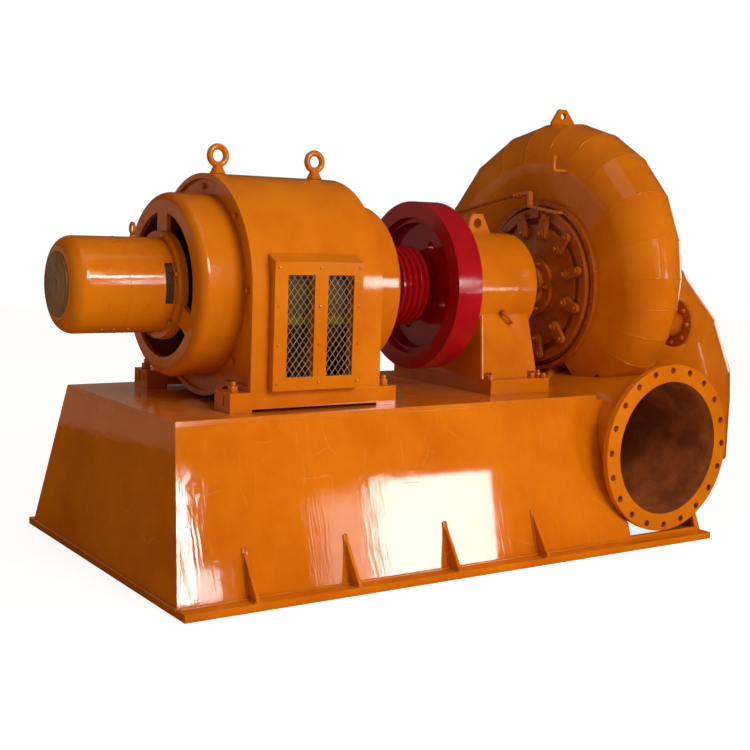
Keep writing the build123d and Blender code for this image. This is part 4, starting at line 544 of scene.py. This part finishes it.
def piece(bm, name, body, material, smooth=40.0):
    """Turn a bmesh into a named piece that rides on a body."""
    bmesh.ops.recalc_face_normals(bm, faces=bm.faces)
    for face in bm.faces:
        face.smooth = True
    mesh = bpy.data.meshes.new(name)
    bm.to_mesh(mesh)
    bm.free()
    mesh.set_sharp_from_angle(angle=radians(smooth))
    mesh.materials.append(material)
    made = bpy.data.objects.new(name, mesh)
    bpy.context.scene.collection.objects.link(made)
    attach(made, body)
    print(name, len(mesh.polygons), "faces")
    return made


# %% [markdown]
# The vent covers are held by twelve pan-head screws each, in three columns and four rows, painted
# over with the rest. A pan head is a low disc with a strongly rounded edge.

# %% Screws of the vent covers
screws = bmesh.new()
for side_y in (-0.498, 0.498):
    for x in (-0.824, -0.637, -0.454):
        for z in (0.789, 0.940, 1.092, 1.244):
            disc(screws, (x, side_y, z), (0, side_y, 0), 0.0065, 0.004, 14, 0.0025)
piece(screws, "vent_cover_screws", "bedplate", orange)

# %% [markdown]
# The windows are closed with diamond mesh of 2.4 mm wire, 29 by 38 mm a diamond, and the slots of
# the exciter with a finer one. The solids only hold their place, so woven pieces replace them. Each
# wire is a thin six-sided bar between the edges of its panel, and the two directions lie nearly a
# wire apart. On the exciter the same wires are bent round the drum in four short steps.

# %% Wire screens
def mesh_wires(width, height, cell_w, cell_h):
    """End points of the two families of wires on a panel, as (way, start, end) round its middle."""
    wires = []
    for way in (-1, 1):
        slope = way * cell_h / cell_w
        reach = height / 2 + cell_h / cell_w * width / 2
        for i in range(int(-reach / cell_h), int(reach / cell_h) + 1):
            rise = i * cell_h
            ends = sorted([(-width / 2, rise - slope * width / 2),
                           (width / 2, rise + slope * width / 2),
                           ((-height / 2 - rise) / slope, -height / 2),
                           ((height / 2 - rise) / slope, height / 2)])
            start, end = ends[1], ends[2]       # the inner two of the four crossings lie on it
            on_panel = abs(start[1]) <= height / 2 + 1e-6 and abs(start[0]) <= width / 2 + 1e-6
            if on_panel and start != end:
                wires.append((way, start, end))
    return wires


low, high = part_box("vent_screens")
wire_r, window_w = 0.0012, 0.1395
panel_h, panel_y = high[2] - low[2], high[1] - 0.002
panel_z = (low[2] + high[2]) / 2
woven = bmesh.new()
for side_y in (-panel_y, panel_y):
    for x in (low[0] + window_w / 2, high[0] - window_w / 2):
        for way, start, end in mesh_wires(window_w, panel_h, 0.029, 0.038):
            y = side_y + way * 0.0009
            straight_bead(woven, (x + start[0], y, panel_z + start[1]),
                          (x + end[0], y, panel_z + end[1]), wire_r, 6)
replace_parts(piece(woven, "woven_vent_screens", "bedplate", wire), "vent_screens")

low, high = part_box("exciter_screens")
drum_r = high[1] - 0.001
fine = bmesh.new()
for side_y in (-1, 1):
    for way, start, end in mesh_wires(high[0] - low[0], high[2] - low[2], 0.0135, 0.0180):
        last = None
        for k in range(5):
            along = [start[j] + (end[j] - start[j]) * k / 4 for j in (0, 1)]
            lean = (along[1] + (low[2] + high[2]) / 2 - shaft_z) / drum_r
            r = drum_r - 0.0008 + way * 0.0006
            point = ((low[0] + high[0]) / 2 + along[0], side_y * r * cos(lean),
                     shaft_z + r * sin(lean))
            if last:
                straight_bead(fine, last, point, 0.0007, 5)
            last = point
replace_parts(piece(fine, "woven_exciter_screens", "bedplate", wire), "exciter_screens")

# %% [markdown]
# Four large bolts hold the generator's feet down. Each one stands on a washer with its stud
# showing. The end shields are bolted to the frame on a circle in the groove beside the drums. The
# lowest place of that circle, just over the bedplate, stays empty.

# %% Bolts of the generator
holding = bmesh.new()
for x in (-0.974, -0.266):
    for y in (-0.415, 0.415):
        hex_bolt(holding, (x, y, 0.754), (0, 0, 1), 0.034, 0.020, 0.3, True, 0.018)
piece(holding, "generator_foot_bolts", "bedplate", orange)

shield_circle, lowest_z = 0.407, 0.80
shield_bolts = bmesh.new()
for turn in range(0, 360, 45):
    y, z = shield_circle * sin(radians(turn)), shaft_z + shield_circle * cos(radians(turn))
    if z > lowest_z:
        hex_bolt(shield_bolts, (-0.908, y, z), (-1, 0, 0), 0.022, 0.012)
        hex_bolt(shield_bolts, (-0.329, y, z), (1, 0, 0), 0.022, 0.012)
piece(shield_bolts, "shield_bolts", "bedplate", orange)

# %% [markdown]
# The exciter is a rolled sheet drum, so it shows a joint band, rows of small screws that hold its
# coils, and a shallow pressed centre in its end sheet. Each screw points straight out of the drum,
# and six bolts hold its foot ring to the generator's shield.

# %% Exciter details
drum_surface, foot_circle = 0.1915, 0.205
exciter_bits = bmesh.new()
for x in (-1.385, -1.335, -1.275, -1.225):
    for turn in (28, 68, 108, 148, 208, 248, 292, 332):
        out_way = Vector((0, sin(radians(turn)), cos(radians(turn))))
        disc(exciter_bits, Vector((x, 0, shaft_z)) + out_way * drum_surface, out_way,
             0.0052, 0.0035, 12, 0.0018)
ring_bead(exciter_bits, (-1.305, 0, shaft_z), (1, 0, 0), drum_surface, 0.0016, 96)
for turn in range(-15, 345, 60):
    y, z = foot_circle * sin(radians(turn)), shaft_z + foot_circle * cos(radians(turn))
    hex_bolt(exciter_bits, (-1.1172, y, z), (-1, 0, 0), 0.016, 0.009)
piece(exciter_bits, "exciter_screws_and_joint", "bedplate", orange)

cap = bmesh.new()
for radius, rise in ((0.118, 0.0022), (0.075, 0.0035), (0.026, 0.006)):
    disc(cap, (-1.5375, 0, shaft_z), (-1, 0, 0), radius, rise, 64, 0.0015)
piece(cap, "exciter_cap_pressing", "bedplate", brown)

# %% [markdown]
# The pedestal bearing stands on its sole plate with four bolts at the foot of the column and four
# at the corners of the plate. One more stud and nut stand on the plate at each long side, and a
# small slanted grease pipe sits on the front. The pipe is a chain of short rods, so that its two
# bends stay crisp.

# %% Pedestal bearing details
plate_z = 0.7402        # top of the sole plate
bearing_bits = bmesh.new()
for x in (0.3835, 0.6405):
    for y in (-0.318, 0.318):
        hex_bolt(bearing_bits, (x, y, plate_z), (0, 0, 1), 0.026, 0.015, 0.2)
for x in (0.358, 0.676):
    for y in (-0.362, 0.362):
        hex_bolt(bearing_bits, (x, y, plate_z), (0, 0, 1), 0.022, 0.013, 0.5, True, 0.006)
for y in (-0.328, 0.328):
    hex_bolt(bearing_bits, (0.672, y, plate_z), (0, 0, 1), 0.024, 0.016, 0.2, True, 0.014)
piece(bearing_bits, "bearing_bolts", "bedplate", orange)

grease_pipe = bmesh.new()
points = [(0.508, -0.215, 1.046), (0.508, -0.243, 1.040), (0.552, -0.268, 0.992),
          (0.552, -0.246, 0.986)]
for start, end in zip(points, points[1:]):
    straight_bead(grease_pipe, start, end, 0.0065)
disc(grease_pipe, points[1], Vector(points[2]) - Vector(points[1]), 0.011, 0.018, 6, 0.001)
disc(grease_pipe, points[0], Vector(points[1]) - Vector(points[0]), 0.012, 0.014, 16, 0.001)
piece(grease_pipe, "grease_pipe", "bedplate", orange_cast)

# %% [markdown]
# On the flywheel and hub the only fittings are the bolts that clamp the hub to the web. They ride
# on the rotor, so they turn with it.

# %% Bolts of the flywheel
hub_circle = 0.150
hub_bolts = bmesh.new()
for turn in range(0, 360, 60):
    y, z = hub_circle * sin(radians(turn)), shaft_z + hub_circle * cos(radians(turn))
    hex_bolt(hub_bolts, (0.202, y, z), (-1, 0, 0), 0.022, 0.012)
    hex_bolt(hub_bolts, (0.242, y, z), (1, 0, 0), 0.022, 0.012)
piece(hub_bolts, "flywheel_bolts", "rotor", red)

# %% [markdown]
# Every guide vane lever is held on its stem by a hexagon bolt, and a round keeper closes its pin in
# the operating ring. Both move with their own lever. The gland of the shaft has six studs whose
# nuts press the packing, and four smaller ones nearer the shaft.

# %% Lever bolts and gland studs
stem_circle, pin_circle = 0.265, 0.342
for i in range(12):
    turn = radians(15 + i * 30)
    out_way = Vector((0, -sin(turn), cos(turn)))
    stem = Vector((0.8597, 0, shaft_z)) + out_way * stem_circle
    pin = Vector((0.8677, 0, shaft_z)) + out_way * pin_circle
    fittings = bmesh.new()
    hex_bolt(fittings, stem, (-1, 0, 0), 0.020, 0.010, turn, True)
    disc(fittings, pin, (-1, 0, 0), 0.0125, 0.007, 20, 0.002)
    piece(fittings, f"lever_fittings_{i + 1:02d}", f"lever_{i + 1:02d}", orange_cast)

gland_nuts = bmesh.new()
for turn in range(30, 360, 60):
    y, z = 0.127 * sin(radians(turn)), shaft_z + 0.127 * cos(radians(turn))
    hex_bolt(gland_nuts, (0.875, y, z), (-1, 0, 0), 0.020, 0.012, 0.0, True, 0.014)
for turn in range(0, 360, 90):
    y, z = 0.088 * sin(radians(turn)), shaft_z + 0.088 * cos(radians(turn))
    hex_bolt(gland_nuts, (0.850, y, z), (-1, 0, 0), 0.015, 0.009, 0.0, False, 0.010)
piece(gland_nuts, "gland_nuts", "bedplate", orange_cast)

# %% [markdown]
# A row of 24 flat screws goes round the fixed rim outside the operating ring. They are low, so
# the ring's own parts pass them without touching.

# %% Screws round the head cover
rim_circle = 0.407
rim_bolts = bmesh.new()
for i in range(24):
    turn = radians(7.5 + i * 15)
    y, z = rim_circle * sin(turn), shaft_z + rim_circle * cos(turn)
    disc(rim_bolts, (0.915, y, z), (-1, 0, 0), 0.0055, 0.003, 12, 0.0012)
piece(rim_bolts, "rim_screws", "bedplate", orange_cast)

# %% [markdown]
# The spiral case is welded from twenty mitred rings, and the tube gets thinner on its way round. We
# repeat the taper of the CAD model here, because the next two pieces have to follow it.

# %% Taper of the spiral
joints = (20, 40, 60, 99, 118, 137, 155, 170, 184, 198, 213, 231, 249, 264, 276, 288, 301)


def tube_radius(angle):
    """Outer radius of the spiral tube at an angle from the bottom towards the back."""
    t = angle / spiral_end
    return pipe_r - (pipe_r - nose_r) * (t * 1.15 - 0.15 * t * t)


print("radius at the joints", [round(tube_radius(angle), 3) for angle in joints])

# %% [markdown]
# Between the stay ring and the round tube the real case has a flat shoulder on each side, a thin
# sheet that leaves the ring's rim and meets the tube where it touches it. We start from the edge of
# that sheet at the first angle and extrude it from joint to joint. At each one a right triangle
# gives the touching point: its long side runs from the rim to the tube's middle, and its short side
# is the tube's radius. A flat plate closes the gap between the two sheets at both ends.

# %% Shoulders of the spiral case
def touching(rim_x, rim_r, way, angle):
    """Ends of the shoulder's edge at an angle: on the rim, and where it touches the tube."""
    turn = radians(angle)
    lean = cos(turn) if angle < 0 else 1.0      # the inlet pipe is cut aslant before the bottom
    radius = tube_radius(max(angle, 0))
    out_x, out_r = mid_x - rim_x, (touch_r + radius) - rim_r * lean
    far = sqrt(out_x ** 2 + out_r ** 2)
    bearing = atan2(out_r, out_x) + way * asin(radius / far)
    length = sqrt(far ** 2 - radius ** 2)
    touch_x = rim_x + length * cos(bearing)
    reach = (rim_r * lean + length * sin(bearing)) / lean
    return [Vector((rim_x, rim_r * sin(turn), shaft_z - rim_r * cos(turn))),
            Vector((touch_x, reach * sin(turn), shaft_z - reach * cos(turn)))]


def shoulder(bm, rim_x, rim_r, way):
    """Sheet from a rim of the stay ring to the tube, joint by joint; returns both end edges."""
    first = touching(rim_x, rim_r, way, -16)
    edge = bm.edges.new([bm.verts.new(end) for end in first])
    near, away = edge.verts
    for angle in (-8, 0) + joints + (317, 330):
        grown = bmesh.ops.extrude_edge_only(bm, edges=[edge])["geom"]
        fresh = [item for item in grown if isinstance(item, bmesh.types.BMVert)]
        fresh.sort(key=lambda vert: (vert.co - near.co).length)
        near, away = fresh
        last = touching(rim_x, rim_r, way, angle)
        near.co, away.co = last
        edge = next(item for item in grown if isinstance(item, bmesh.types.BMEdge)
                    and near in item.verts and away in item.verts)
    return first, last


front_rim, back_rim = (0.940, 0.412), (1.285, 0.379)        # place along the shaft and radius
shoulders = bmesh.new()
front_ends = shoulder(shoulders, *front_rim, 1)
back_ends = shoulder(shoulders, *back_rim, -1)
for front, back in zip(front_ends, back_ends):
    corners = [shoulders.verts.new(place) for place in front + back[::-1]]
    bmesh.ops.contextual_create(shoulders, geom=corners)
bmesh.ops.solidify(shoulders, geom=shoulders.faces[:], thickness=0.004)
piece(shoulders, "spiral_shoulders", "bedplate", orange_spiral, 12)

# %% [markdown]
# The fabricator has ground the welds of the tube almost flush. A bead is a small circle spun once
# round the tube, sunk so far that it stands proud by little more than a millimetre.

# %% Weld beads of the spiral case
seams = bmesh.new()
for angle in joints:
    turn = radians(angle)
    reach = touch_r + tube_radius(angle)
    centre = (mid_x, reach * sin(turn), shaft_z - reach * cos(turn))
    ring_bead(seams, centre, (0, cos(turn), sin(turn)), tube_radius(angle) - 0.0018, 0.0032, 64)
piece(seams, "spiral_weld_beads", "bedplate", orange, 80)

# %% [markdown]
# The inlet pipe is welded to its flange with a heavy fillet, and so is the side nozzle to its own.
# The flanges of the nozzle and of the elbow are bolted. The elbow's mitre joints are ground flush,
# so they get no bead.

# %% Pipe welds and flange bolts
pipe_bits = bmesh.new()
ring_bead(pipe_bits, (mid_x, -0.7295, pipe_z), (0, 1, 0), 0.3205, 0.0065, 96)
ring_bead(pipe_bits, (1.356, -0.520, 0.998), (1, 0, 0), 0.0655, 0.004, 48)
piece(pipe_bits, "pipe_weld_beads", "bedplate", orange, 80)

nozzle_y, nozzle_z, nozzle_circle = -0.520, 0.998, 0.092
nozzle_bolts = bmesh.new()
for i in range(8):
    turn = radians(i * 45)
    y, z = nozzle_y + nozzle_circle * cos(turn), nozzle_z + nozzle_circle * sin(turn)
    hex_bolt(nozzle_bolts, (1.3715, y, z), (1, 0, 0), 0.018, 0.011, 0.0, True, 0.006)
    hex_bolt(nozzle_bolts, (1.3505, y, z), (-1, 0, 0), 0.018, 0.011)
piece(nozzle_bolts, "nozzle_bolts", "bedplate", orange)

elbow_circle = 0.258
elbow_bits = bmesh.new()
for turn in range(15, 360, 30):
    y, z = elbow_circle * sin(radians(turn)), shaft_z + elbow_circle * cos(radians(turn))
    hex_bolt(elbow_bits, (1.334, y, z), (1, 0, 0), 0.024, 0.014)
piece(elbow_bits, "elbow_flange_bolts", "bedplate", orange)

# %% [markdown]
# The bedplate is joined with fillet welds along both sides of each rib and where the walls meet the
# foot. The beads are thin round bars sunk in the corner. In front they stop short of the inlet.

# %% Weld beads of the bedplate
def wall_y(z):
    """Outer face of a long wall of the bedplate at a height."""
    return 0.763 - (z - 0.030) * 0.208 / 0.645


foot_z, rib_top = 0.031, 0.212
bed_welds = bmesh.new()
for way in (-1, 1):
    straight_bead(bed_welds, (-1.352, way * 0.765, foot_z),
                  (0.880 if way < 0 else 1.352, way * 0.765, foot_z), 0.006)
    for x in (-1.066, -0.620, -0.134, 0.344):
        for off in (-0.008, 0.008):
            straight_bead(bed_welds, (x + off, way * 0.826, 0.032),
                          (x + off, way * wall_y(0.03), 0.032), 0.005)
            straight_bead(bed_welds, (x + off, way * (wall_y(0.035) + 0.001), 0.035),
                          (x + off, way * (wall_y(rib_top) + 0.001), rib_top), 0.005)
straight_bead(bed_welds, (-1.3625, -0.76, foot_z), (-1.3625, 0.76, foot_z), 0.006)
straight_bead(bed_welds, (1.3605, 0.10, foot_z), (1.3605, 0.76, foot_z), 0.006)
piece(bed_welds, "bedplate_weld_beads", "bedplate", orange, 60)
